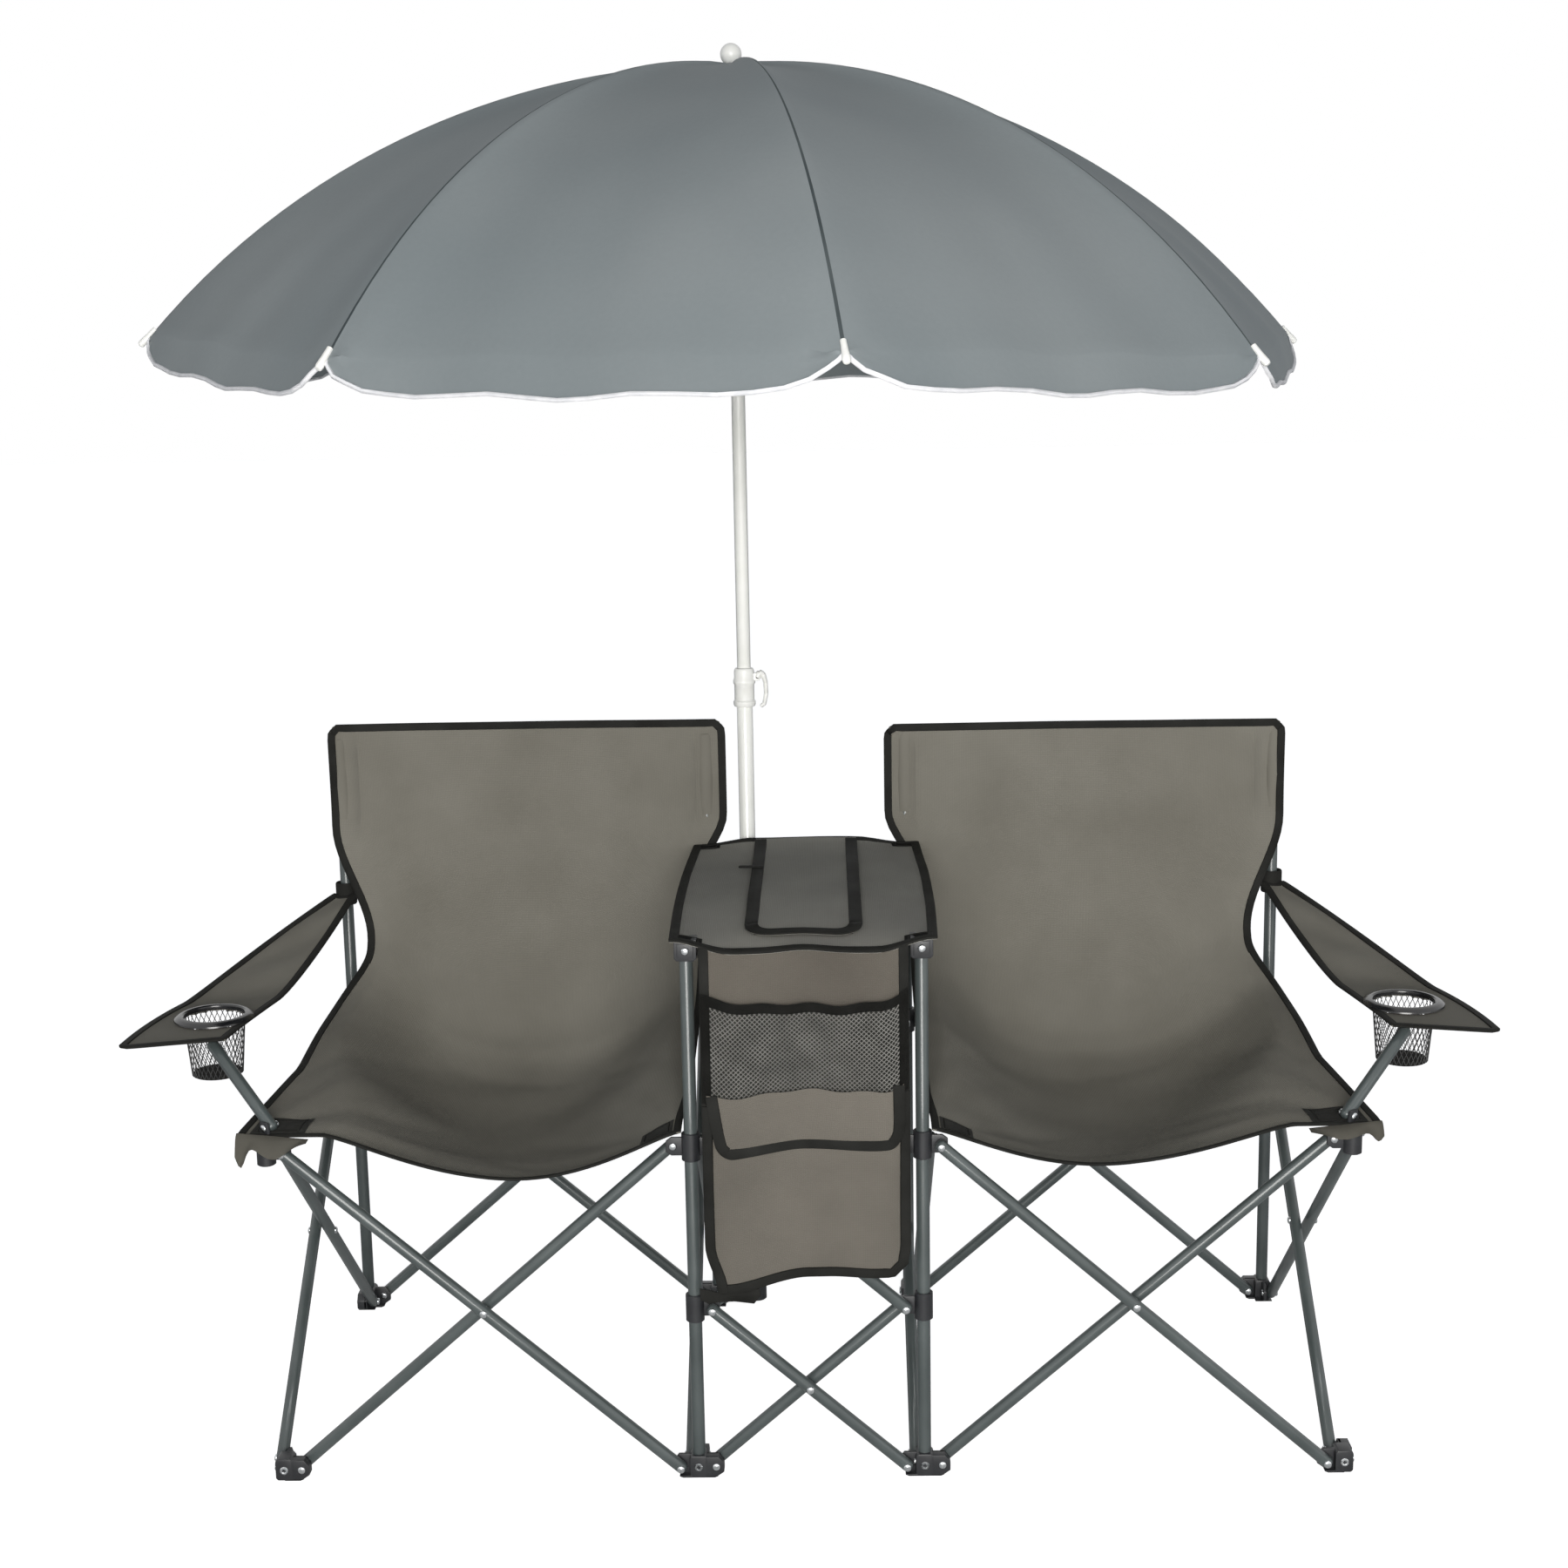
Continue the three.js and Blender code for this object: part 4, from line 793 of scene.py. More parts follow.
def curve_point(points, share):
    """A centripetal curve through the points, by the share of its spans."""
    place_along = min(max(share, 0), 1) * (len(points) - 1)
    span = min(int(place_along), len(points) - 2)
    p1, p2 = Vector(points[span]), Vector(points[span + 1])
    p0 = Vector(points[span - 1]) if span else 2 * p1 - p2
    p3 = Vector(points[span + 2]) if span + 2 < len(points) else 2 * p2 - p1
    d0, d1, d2 = (sqrt((b - a).length) for a, b in ((p0, p1), (p1, p2), (p2, p3)))
    t1 = ((p1 - p0) / d0 - (p2 - p0) / (d0 + d1) + (p2 - p1) / d1) * d1
    t2 = ((p2 - p1) / d1 - (p3 - p1) / (d1 + d2) + (p3 - p2) / d2) * d1
    t = place_along - span
    return p1 + t1 * t + (3 * (p2 - p1) - 2 * t1 - t2) * t * t + (2 * (p1 - p2) + t1 + t2) * t ** 3


def inner_reach(y, z):
    return mix(HALF_CHAIR - mix(11, 5, smooth(y, 15, 90)), HALF_CHAIR + 26, smooth(z, 596, 674))


def outer_reach(y, z):
    seat_edge = HALF_CHAIR + mix(30, 0, min(max(y / (REAR_Y * 0.35), 0), 1))
    return mix(mix(seat_edge, HALF_CHAIR - 32, smooth(z, 440, 508)), HALF_CHAIR + 11, smooth(z, 515, 664))


def sling_base(way, u, v):
    edge, middle = curve_point(SLING_EDGE, v), curve_point(SLING_MIDDLE, v)
    reach = 2 * u - 1
    aside = reach + 0.18 * (1 - smooth(v, 0.02, 0.35))
    deep = smooth(v, 0.15, 0.4)
    belly = max(0, 1 - abs(aside / mix(0.82, 0.88, deep)) ** mix(2, 2.7, deep)) ** 1.3
    y, z = edge.lerp(middle, belly)
    z += 10 * belly * (1 - smooth(v, 0, 0.3)) if way > 0 else 10 * smooth(v, 0.9, 1)
    rounding = max(0, (abs(reach) - 0.95) / 0.05) ** 2 * max(0, (v - 0.975) / 0.025) ** 2
    z -= 7 * rounding
    spread = inner_reach(edge.x, edge.y + HUB_Z) if reach < 0 else outer_reach(edge.x, edge.y + HUB_Z)
    spread -= 4 * rounding
    return Vector((way * (INNER_X + HALF_CHAIR + reach * spread), y, z + HUB_Z))


# %% [markdown]
# The creases are small and long. Across the front they fan out from the two corners that carry the seat, and on the
# back they run level, slack in the middle and gone at the sleeves. Each is a narrow ridge along a line, added square
# to the cloth.

# %% Creases in the seat and the back


def ridge(u, v, u0, v0, u1, v1, width, height):
    """A soft ridge along a line of the sheet, which dies out towards both ends."""
    run = Vector((u1 - u0, v1 - v0))
    t = ((u - u0) * run.x + (v - v0) * run.y) / run.length_squared
    if not 0 < t < 1:
        return 0
    off = ((u - u0) * run.y - (v - v0) * run.x) / run.length
    return height * sin(pi * t) ** 0.7 * exp(-((off / width) ** 2))


SEAT_CREASES = [
    (0.03, 0.015, 0.42, 0.20, 0.016, 3.0), (0.05, 0.01, 0.52, 0.09, 0.013, 2.6), (0.97, 0.015, 0.60, 0.20, 0.016, 3.0),
    (0.95, 0.01, 0.48, 0.10, 0.013, -2.2), (0.04, 0.05, 0.30, 0.34, 0.02, -2.6), (0.96, 0.05, 0.72, 0.33, 0.02, -2.4),
    (0.20, 0.02, 0.80, 0.035, 0.012, 1.8), (0.30, 0.40, 0.75, 0.46, 0.02, 1.4), (0.02, 0.20, 0.28, 0.42, 0.018, 2.2),
    (0.98, 0.20, 0.74, 0.44, 0.018, 2.2), (0.18, 0.52, 0.82, 0.54, 0.016, -1.2),
]
BACK_CREASES = [
    (0.04, 0.93, 0.46, 0.90, 0.010, 2.2), (0.55, 0.91, 0.96, 0.94, 0.011, 2.0), (0.06, 0.86, 0.60, 0.84, 0.012, 2.4),
    (0.42, 0.80, 0.95, 0.83, 0.012, -2.0), (0.10, 0.77, 0.55, 0.76, 0.012, 1.8), (0.30, 0.70, 0.90, 0.72, 0.014, 1.6),
]


SLEEVE_SEAMS = ((0.075, -1), (0.925, 1))


def crease_height(way, u, v):
    drift = 0 if way < 0 else 0.03
    height = sum(ridge(u, v, *line) for line in SEAT_CREASES + BACK_CREASES)
    height += 1.4 * sin(9 * u + 31 * v + 2 * way) * sin(5 * u - 12 * v + drift * 40) * sin(pi * u) ** 0.5
    for seam, outward in SLEEVE_SEAMS:
        roll = 4 * exp(-((((u - seam) * outward - 0.03) / 0.02) ** 2))
        groove = 2.6 * exp(-(((u - seam) / 0.006) ** 2))
        height += (roll - groove) * smooth(v, 0.8, 0.84) * (1 - smooth(v, 0.965, 0.99))
    return height * smooth(v, 0, 0.03)


def sling_surface(way):
    def surface(u, v):
        normal = sheet_normal(lambda a, b: sling_base(way, a, b), u, v, 0.01, 0.005) * -way
        return sling_base(way, u, v) + normal * crease_height(way, u, v)

    return surface


# %% [markdown]
# The seat's front corners are reinforced with black cloth where the rivets pull, with a pair of small grey tabs sewn
# below, and the back ends in two sleeves that slip over the rear posts.

# %% What is sewn to the slings
SEAT_FRONT, SEAT_REAR = 0.315, 0.60
ACROSS = [0, 0.01, 0.022, 0.034, 0.046, 0.058, 0.069, 0.075, 0.081] + steps(0.1, 0.9, 34)
ACROSS += [0.919, 0.925, 0.931, 0.942, 0.954, 0.966, 0.978, 0.99, 1]


def strip(work, surface, u0, v0, u1, v1, rise, finish):
    """A patch sewn on top of the sheet between two opposite corners, with a cord of stitching inside its edge."""
    part = bmesh.new()
    rows = []
    for v in steps(v0, v1, 8):
        row = []
        for u in steps(u0, u1, 8):
            normal = sheet_normal(surface, u, v)
            normal *= 1 if normal.z > 0 else -1
            row.append(part.verts.new(surface(u, v) + normal * rise))
        rows.append(row)
    grid_faces(part, rows)
    near, far = rows[1][1:-1], rows[-2][-2:0:-1]
    round_it = near + [row[-2] for row in rows[2:-2]] + far + [row[1] for row in rows[-3:1:-1]]
    edge = [v.co + Vector((0, 0, 0.6)) for v in round_it]
    bmesh.ops.solidify(part, geom=part.faces[:], thickness=1.0)
    absorb(work, part, finish)
    for a, b in zip(edge, edge[1:] + edge[:1]):
        turn(work, a, b - a, [(0, 0), (0, 0.7), ((b - a).length, 0.7), ((b - a).length, 0)], 1, 6)


def lobes(work, way, deep):
    """The two-lobed tab that hangs under the seat's outer corner."""
    part = bmesh.new()
    rows = []
    for v in steps(0, 1, 10):
        row = []
        for u in steps(0, 1, 24):
            long_lobe, short_lobe = exp(-(((u - 0.07) / 0.10) ** 2)), 0.62 * exp(-(((u - 0.52) / 0.28) ** 2))
            drop = (deep * (long_lobe + short_lobe) + 4) * (1 - u ** 6) + 0.5
            curl = 3 * sin(pi * v) * sin(9 * u)
            row.append(part.verts.new((way * mix(632, 552, u), -9 - 13 * sqrt(v) + curl, 417 - 8 * u - drop * v)))
        rows.append(row)
    grid_faces(part, rows)
    bmesh.ops.solidify(part, geom=part.faces[:], thickness=1.2)
    absorb(work, part, 0)


def sleeve(work, x, y, low, high):
    """The end of the back, sewn into a flat tube round its post."""
    rings = []
    for z in steps(low, high, 10):
        pinch = 1 - 0.12 * abs(sin(z / 19))
        ring = [(x + cos(a) * 10.7, y + sin(a) * 9.2 * pinch - 1.2, z) for a in turns(20)]
        rings.append([work.verts.new(spot) for spot in ring])
    skin(work, rings, 0)
    ends = [[work.verts.new((x + (v.co.x - x) * 0.86, y + (v.co.y - y) * 0.8, v.co.z)) for v in ring]
            for ring in (rings[0], rings[-1])]
    skin(work, [rings[0], *ends, rings[-1]], 1)


# %% The seats and backs
SLEEVE_LOW, SLEEVE_TOP = 674, 779
for chair, way in BOTH_SIDES:
    surface = sling_surface(way)
    node = chair + "_seat_sling"
    near, far = chair + "_inner_front_hub", chair + "_inner_rear_hub"

    def front_trim(work):
        bind_across(work, surface, 0, steps(0.01, 0.99, 40), 4)
        for u in (1, 0):
            bind(work, surface, [(u, v) for v in steps(0, SEAT_FRONT, 16)], 8)
        strip(work, surface, 0.86, 0.006, 0.975, 0.055, 1.0, 2)
        strip(work, surface, 0.02, 0.004, 0.10, 0.045, 1.0, 2)
        lobes(work, way, 30 if way < 0 else 14)

    def rear_trim(work):
        bind_sides(work, surface, steps(SEAT_FRONT, SEAT_REAR, 14), 8)

    def back_trim(work):
        bind_sides(work, surface, steps(SEAT_REAR, 1, 30), 9)
        bind_across(work, surface, 1, steps(0, 1, 44), 9)
        for x in (INNER_X, OUTER_X):
            sleeve(work, way * x, REAR_Y, SLEEVE_LOW, SLEEVE_TOP)

    spans = (
        ("seat_front", 0, SEAT_FRONT, near, front_trim, 0.30),
        ("seat_rear", SEAT_FRONT, SEAT_REAR, far, rear_trim, 0.20),
        ("back", SEAT_REAR, 1, node, back_trim, 0.38),
    )
    for part, v0, v1, on, trim, flat_length in spans:
        piece = cloth(chair + "_" + part, surface, ACROSS, steps(v0, v1, 26), (520, 900), 1.4,
                      [seat_cloth, binding, patch_cloth], body_with[on], [node], extra=trim,
                      seams=[v for v in (v0, v1) if 0 < v < 1])
        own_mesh(piece)

# %% [markdown]
# ## Arms and cup holders
#
# The arms are flat slings, wide in front and narrow behind, bound all round, with a black moulded ring near the
# front and a net pocket below it. The cloth is one sheet with a round hole, which the ring covers.

# %% The arms
CUP, CUP_HOLE = (690.0, 137.0), 39
ARM_LOOP = ((560.5, 0.93), (562, 1), (588, 1), (589.5, 0.93), (588, 0.88), (562, 0.88))
CUP_RING = [(507, 34.6), (508.6, 34.2), (511, 34.8), (512.4, 36.6), (512.4, 39), (511, 42.5), (508.6, 45.6), (507, 46)]
CUP_RING += CUP_RING[:1]
NET_STRANDS, NET_ROWS, NET_FLOOR, NET_RIM = 34, 8, 440, 508
ARM_U, ARM_V = [0, 0.03, 0.07] + steps(0.11, 0.89, 24) + [0.93, 0.97, 1], steps(0, 1, 62)


def arm_surface(way):
    def surface(u, v):
        y = mix(mix(56, 26, u), 463.5, v)
        outer, inner = mix(770, 617.5, v ** 2), mix(656, 587.5, v ** 1.2)
        z = mix(505, 575, max(0, (v - 0.4) / 0.6) ** 1.4)
        sag = 3.5 * sin(pi * u) * sin(pi * min(1, v * 1.6)) ** 1.2
        wrinkle = 1.6 * sin(22 * v + 3 * u) * sin(pi * u) * smooth(v, 0.30, 0.5)
        y += 9 * max(0, (u - 0.88) / 0.12) ** 2 * max(0, 1 - v / 0.04)
        return Vector((way * mix(inner, outer, u), y, z - sag * smooth(v, 0.32, 0.5) + wrinkle))

    return surface


def around_arm():
    return ([(u, 0) for u in steps(0.02, 0.98, 14)] + [(1, v) for v in steps(0.01, 0.99, 50)]
            + [(u, 1) for u in steps(0.98, 0.02, 6)] + [(0, v) for v in steps(0.99, 0.01, 50)])


# %% Both arms, each with its cup ring and net
for chair, way in BOTH_SIDES:
    surface = arm_surface(way)

    def over_cup(u, v):
        spot = surface(u, v)
        return hypot(spot.x - way * CUP[0], spot.y - CUP[1]) < CUP_HOLE

    def arm_trim(work):
        bind(work, surface, around_arm(), 8, closed=True)
        rings = []
        for z, spread in ARM_LOOP:
            ring = [(way * OUTER_X + cos(a) * 13.4 * spread, REAR_Y - 2.5 + sin(a) * 13 * spread, z) for a in turns(24)]
            rings.append([work.verts.new(spot) for spot in ring])
        skin(work, rings, 1, closed=True)

    node = chair + "_arm"
    piece = cloth(chair + "_arm_cloth", surface, ARM_U, ARM_V, (114, 425), 1.4, [seat_cloth, binding],
                  body_with[node], [node], skip=over_cup, extra=arm_trim)
    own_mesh(piece)

    work = bmesh.new()
    centre = Vector((way * CUP[0], CUP[1], 0))
    turn(work, centre, (0, 0, 1), CUP_RING, 0, 40)

    def net_spot(a, z):
        r = mix(29, 35, (z - NET_FLOOR) / (NET_RIM - NET_FLOOR))
        return centre + Vector((cos(a) * r, sin(a) * r, z))

    for slant in (-1, 1):
        for start in turns(NET_STRANDS):
            shares = steps(0, 1, NET_ROWS)
            path = [net_spot(start + slant * 0.9 * share, mix(NET_FLOOR, NET_RIM, share)) for share in shares]
            for a, b in zip(path, path[1:]):
                rod(work, a, b, 0.5, 1, 4)
    bottom = [(439.4, 0), (439.4, 28), (440.6, 29.6), (442, 28), (441, 0)]
    turn(work, centre, (0, 0, 1), bottom, 2, 32)
    node = chair + "_cup_holder"
    settle(node + "_ring_and_net", work, [black_abs, dark_net, binding], body_with[node], [node])

# %% [markdown]
# ## The cooler table
#
# The table is a stiff cloth stretched between four corner brackets, with a cool bag hung below it and a lid
# flap in its top. Its front edge sags a little and its rear edge stands up. The halves of the top and of the bag ride
# on the front and the rear posts.

# %% The table's top
TABLE_HALF, TABLE_FRONT, TABLE_REAR = 144.5, -22.0, 457.2
LID_HALF, LID_FRONT, LID_HINGE, LID_CORNER = 64.5, 10.0, 448.0, 30
LID_OPENING, PATCHES = (54, 22, 438), ((0, 0.12), (0.88, 1))
table_u = [0, 0.03, 0.06, 0.1, 0.16, 0.22, 0.28, 0.313, 0.34] + steps(0.4, 0.6, 6)
table_u += [0.66, 0.687, 0.72, 0.78, 0.84, 0.9, 0.94, 0.97, 1]
TABLE_HALVES = {"front": body_with["cooler_table"], "rear": body_with["left_inner_rear_post"]}


def table_surface(u, v):
    across = 2 * u - 1
    front, rear = exp(-v / 0.11), exp(-(1 - v) / 0.06)
    sag = 15 * smooth(1 - abs(across), 0.02, 0.45) * (1 - 0.28 * exp(-((across / 0.22) ** 2)))
    lift = 9 * smooth(1 - abs(across), 0.10, 0.55)
    z = 634 - sag * front + lift * rear + 0.8 * sin(14 * u + 3) * sin(17 * v) * (0.3 + abs(across))
    return Vector((TABLE_HALF * across + 5 * across * sin(pi * v), mix(TABLE_FRONT, TABLE_REAR, v), z))


def table_height(x, y):
    return table_surface((x / TABLE_HALF + 1) / 2, (y - TABLE_FRONT) / (TABLE_REAR - TABLE_FRONT)).z


def under_lid(u, v):
    spot = table_surface(u, v)
    half, front, rear = LID_OPENING
    return abs(spot.x) < half and front < spot.y < rear


def table_trim(v0, v1):
    end, patch_v0, patch_v1, count, width = (0, 0, 0.05, 30, 9) if v0 == 0 else (1, 0.95, 1, 20, 8)

    def trim(work):
        bind_sides(work, table_surface, steps(v0, v1, 16), 10)
        bind_across(work, table_surface, end, steps(0, 1, count), width)
        for u0, u1 in PATCHES:
            strip(work, table_surface, u0, patch_v0, u1, patch_v1, 0.9, 1)

    return trim


for part, v0, v1 in (("front", 0, 0.5), ("rear", 0.5, 1)):
    piece = cloth("table_top_" + part, table_surface, table_u, steps(v0, v1, 22), (289, 479), 2.0,
                  [table_cloth_painted_sheen, binding], TABLE_HALVES[part], ["cooler_table"], skip=under_lid,
                  extra=table_trim(v0, v1), seams=[0.5])
    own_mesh(piece)

# %% [markdown]
# The cool bag is a soft box of lined cloth. It hangs from the table, so its walls fall nearly straight, bow out a
# little in the middle, and its floor sags.

# %% The cool bag
BAG, BAG_ROWS = (-91.0, 91.0, 19.0, 441.0, 434.0), 14


def bag_point(around, down):
    """A point by its share of the rim, from the middle of the front, and its share of the depth."""
    x0, x1, y0, y1, low = BAG
    wide, deep = x1 - x0, y1 - y0
    rim = 2 * (wide + deep)
    s = (around * rim + wide / 2) % rim
    if s < wide:
        x, y, out = x0 + s, y0, Vector((0, -1, 0))
    elif s < wide + deep:
        x, y, out = x1, y0 + s - wide, Vector((1, 0, 0))
    elif s < 2 * wide + deep:
        x, y, out = x1 - (s - wide - deep), y1, Vector((0, 1, 0))
    else:
        x, y, out = x0, y1 - (s - 2 * wide - deep), Vector((-1, 0, 0))
    bow = sin(pi * down) * 4 * (1 + 0.25 * sin(9 * around * 2 * pi))
    corner = 1 - 0.10 * down ** 6
    top = table_height(x, y) - 4
    return Vector((x * corner, (y - 230) * (1 - 0.03 * down ** 6) + 230, mix(top, low, down))) + out * (bow - 4)


def half_bag(name, shares, body):
    work = bmesh.new()
    along = work.loops.layers.uv.new("UVMap")
    rows = [[work.verts.new(bag_point(a, d)) for a in shares] for d in steps(0, 1, BAG_ROWS)]
    for (i, j), face in grid_faces(work, rows).items():
        for loop, (a, d) in zip(face.loops, cell_corners(i, j)):
            loop[along].uv = (a / len(shares) * 0.6, d / BAG_ROWS * 0.2)
    floor_row = rows[-1]
    count = len(floor_row)
    for i in range(count // 2):
        j = count - 1 - i
        if j - 1 > i + 1:
            work.faces.new((floor_row[i], floor_row[i + 1], floor_row[j - 1], floor_row[j]))
        elif j - 1 == i + 1:
            work.faces.new((floor_row[i], floor_row[i + 1], floor_row[j]))
    bmesh.ops.recalc_face_normals(work, faces=work.faces)
    bmesh.ops.solidify(work, geom=work.faces[:], thickness=2.0)
    piece = settle(name, work, [table_cloth_painted_sheen, binding], body, ["cooler_table"], smooth=50)
    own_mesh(piece)


for part, start in (("front", -0.25), ("rear", 0.25)):
    half_bag("cool_bag_" + part, steps(start, start + 0.5, 60), TABLE_HALVES[part])

# %% [markdown]
# The lid flap closes the bag. A wide black tape runs round its two sides and its rounded front, and a short pull tab
# is sewn to the left one.

# %% The lid flap


def lid_surface(u, v):
    x, y = mix(-LID_HALF, LID_HALF, u), mix(LID_FRONT, LID_HINGE, v)
    if v < 0.08:
        past = max(0, abs(x) - LID_HALF + LID_CORNER)
        shorten = LID_CORNER - sqrt(max(0, LID_CORNER ** 2 - past ** 2))
        y += shorten * (1 - v / 0.08)
    lift = 0.9 * sin(6 * v * pi + 1) * (2 * u - 1) ** 2 + 1.2 * sin(pi * u)
    return Vector((x, y, table_height(x, y) + 3.6 + lift))


def u_band(work):
    path = [(0, v) for v in steps(0.99, 0.03, 40)] + [(u, 0) for u in steps(0.01, 0.99, 48)]
    bind(work, lid_surface, path + [(1, v) for v in steps(0.03, 0.99, 40)], 14, thick=1.3)
    tab = [(-13, 0), (13, 0), (15, 2), (15, 7), (13, 9), (-13, 9), (-15, 7), (-15, 2)]
    where = Matrix.Translation((-LID_HALF - 2, 300, 640.4)) @ Matrix.Rotation(radians(-90), 4, "X")
    moulding(work, tab, 1.6, where, 1, edge=0.5)


lid_u = [0, 0.04, 0.08, 0.13] + steps(0.2, 0.8, 14) + [0.87, 0.92, 0.96, 1]
lid_v = [0, 0.01, 0.025, 0.04, 0.06, 0.08] + steps(0.1, 1, 40)
piece = cloth("cooler_lid_flap", lid_surface, lid_u, lid_v, (140, 438), 1.6,
              [table_cloth_painted_sheen, binding], body_with["cooler_lid"], ["cooler_lid"], extra=u_band)
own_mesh(piece)

# %% [markdown]
# ## The organiser
#
# The panel in front hangs from the table's edge to knee height. From the top it has a plain strip, a black band, a
# net pocket, and a flap with a black border over a large lower pocket. Its bottom edge isn't quite straight and the
# lower right corner is cut round.

# %% The organiser's panel
ORG_HALF, ORG_LOW = 113.0, 229.0


def organiser_surface(u, v):
    x = mix(-ORG_HALF, ORG_HALF, u) + 13 * smooth(v, 0.86, 1) * (1 - u) ** 3 - 3 * smooth(v, 0.94, 1) * u ** 6
    low = ORG_LOW + 1 + 22 * smooth(u, 0.04, 0.5) - 4 * smooth(u, 0.6, 0.85) + 15 * smooth(u, 0.9, 1) ** 2
    z = mix(table_height(x, TABLE_FRONT) - 1.5, low, v)
    wave = 1.6 * sin(7 * u + 2) * sin(9 * v) + 1.2 * sin(15 * v + 4 * u) * smooth(v, 0.3, 0.6)
    y = -20.6 - 3.6 * smooth(v, 0.02, 0.25) - 2.0 * sin(pi * u) * smooth(v, 0.4, 0.9) + wave * smooth(v, 0.04, 0.2)
    return Vector((x, y, z))


def pocket_surface(v_top, v_low, stand, dip=0.0):
    def surface(u, v):
        back = organiser_surface(u, mix(v_top + dip * sin(pi * min(1, max(0, u)) ** 1.3), v_low, v))
        out = stand * max(0, sin(pi * min(1, max(0, u)))) ** 0.4 * (0.35 + 0.65 * sin(pi * min(1, v * 0.9 + 0.15)))
        ripple = 1.2 * sin(26 * u) * (1 - v) ** 2
        return back + Vector((0, -out - 1.6 + ripple * 0.4, ripple))

    return surface


def organiser_trim(work):
    bind_sides(work, organiser_surface, steps(0, 1, 40), 10)
    bind_across(work, organiser_surface, 1, steps(0, 1, 26), 7)
    strap = [(-16, -7), (-6, -12), (6, -9), (22, -9), (44, -12), (52, -2)]
    strap += [(50, 6), (30, 2), (10, -1), (-4, 4), (-16, 6)]
    moulding(work, strap, 2.4, Matrix.Translation((-ORG_HALF + 8, -22.5, 228)), 1, edge=0.6)


org_u = [0, 0.02, 0.05] + steps(0.09, 0.91, 26) + [0.95, 0.98, 1]
piece = cloth("organiser_panel", organiser_surface, org_u, steps(0, 1, 50), (226, 400), 1.5,
              [panel_cloth, binding], body_with["organiser"], ["organiser"], extra=organiser_trim)
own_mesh(piece)

# %% [markdown]
# The net pocket is drawn as real yarn: two families of slanting strands, which the light shows as diamonds, hung
# from a wavy black band. Behind the strands a dark sheet lies on the panel, which is painted shade for the shadow that
# the pocket casts on the cloth.

# %% The net pocket
NET_TOP, NET_LOW, NET_DIP = 0.135, 0.44, 0.026
net_front = pocket_surface(NET_TOP, NET_LOW, 4.5, NET_DIP)
net_back = pocket_surface(NET_TOP, NET_LOW, 0, NET_DIP)


def band(work, surface, v0, v1, rise=1.2, finish=0, us=steps(0, 1, 40), thick=1.4):
    """A level band of tape sewn along the sheet."""
    part = bmesh.new()
    grid_faces(part, [[part.verts.new(surface(u, v) + Vector((0, -rise, 0))) for u in us] for v in steps(v0, v1, 4)])
    bmesh.ops.solidify(part, geom=part.faces[:], thickness=thick)
    absorb(work, part, finish)


work = bmesh.new()
cells_across, cells_down, longest_strand = 42, 21, 12
for way in (-1, 1):
    for k in range(-cells_down, cells_across + cells_down + 1):
        path = []
        for i in range(cells_down * 2 + 1):
            u, v = (k + way * i / 2) / cells_across, i / 2 / cells_down
            if 0.03 <= u <= 0.97 and v > 0.04:
                path.append(net_front(u, v))
        for a, b in zip(path, path[1:]):
            if (b - a).length < longest_strand:
                rod(work, a, b, 0.6, 0, 4)
net = settle("organiser_net_pocket", work, [net_yarn, binding], body_with["organiser"], ["organiser"])
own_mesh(net)

work = bmesh.new()
# The first band is a dark sheet over the whole net, just off the panel: painted shade where the net shades the cloth.
band(work, net_back, 0.0, 1.0, -0.6, 1, us=steps(0.02, 0.98, 26), thick=0.6)
band(work, net_front, -0.02, 0.08, 2.6)
for u0, u1 in ((0.0, 0.045), (0.955, 1.0)):
    band(work, net_front, 0, 1, 1.0, us=steps(u0, u1, 4))
tape = settle("net_pocket_tape_and_painted_shade", work, [binding, net_painted_shade], body_with["organiser"], ["organiser"])
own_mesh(tape)

# %% [markdown]
# The lower pocket is a second sheet on the panel, closed by a flap with rounded lower corners and a black border.

# %% The lower pocket and its flap
FLAP_TOP, FLAP_LOW, FLAP_CORNER, FLAP_DEPTH, FLAP_STAND = 0.415, 0.595, 20.0, 74, 3.2
lower_front = pocket_surface(0.45, 1.0, 5.0)
flap_front = pocket_surface(FLAP_TOP, FLAP_LOW, 8.5)


def flap_surface(u, v):
    past = max(0, abs(2 * u - 1) * ORG_HALF - ORG_HALF + FLAP_CORNER)
    rise = FLAP_CORNER - sqrt(max(0, FLAP_CORNER ** 2 - past ** 2))
    low = v - rise / FLAP_DEPTH * v ** 3
    return flap_front(mix(0.02 + 0.05 * low, 0.975, u), low) + Vector((0, -FLAP_STAND, 0))


def pocket_border(work):
    bind_sides(work, lower_front, steps(0, 1, 26), 11)
    bind_across(work, lower_front, 1, steps(0, 1, 30), 10)


piece = cloth("lower_pocket_front", lower_front, org_u, steps(0, 1, 26), (226, 215), 1.3,
              [pocket_cloth, binding], body_with["organiser"], ["organiser"], extra=pocket_border)
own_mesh(piece)


def flap_border(work):
    below = steps(0.004, 0.1, 10) + steps(0.13, 0.87, 24) + steps(0.9, 0.996, 10)
    path = [(0, v) for v in steps(0.02, 0.72, 14)] + [(u, 1) for u in below]
    bind(work, flap_surface, path + [(1, v) for v in steps(0.72, 0.02, 14)], 12, thick=1.3)


piece = cloth("lower_pocket_flap", flap_surface, org_u, steps(0, 1, 16), (215, 65), 1.3,
              [pocket_cloth, binding], body_with["organiser"], ["organiser"], extra=flap_border)
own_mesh(piece)

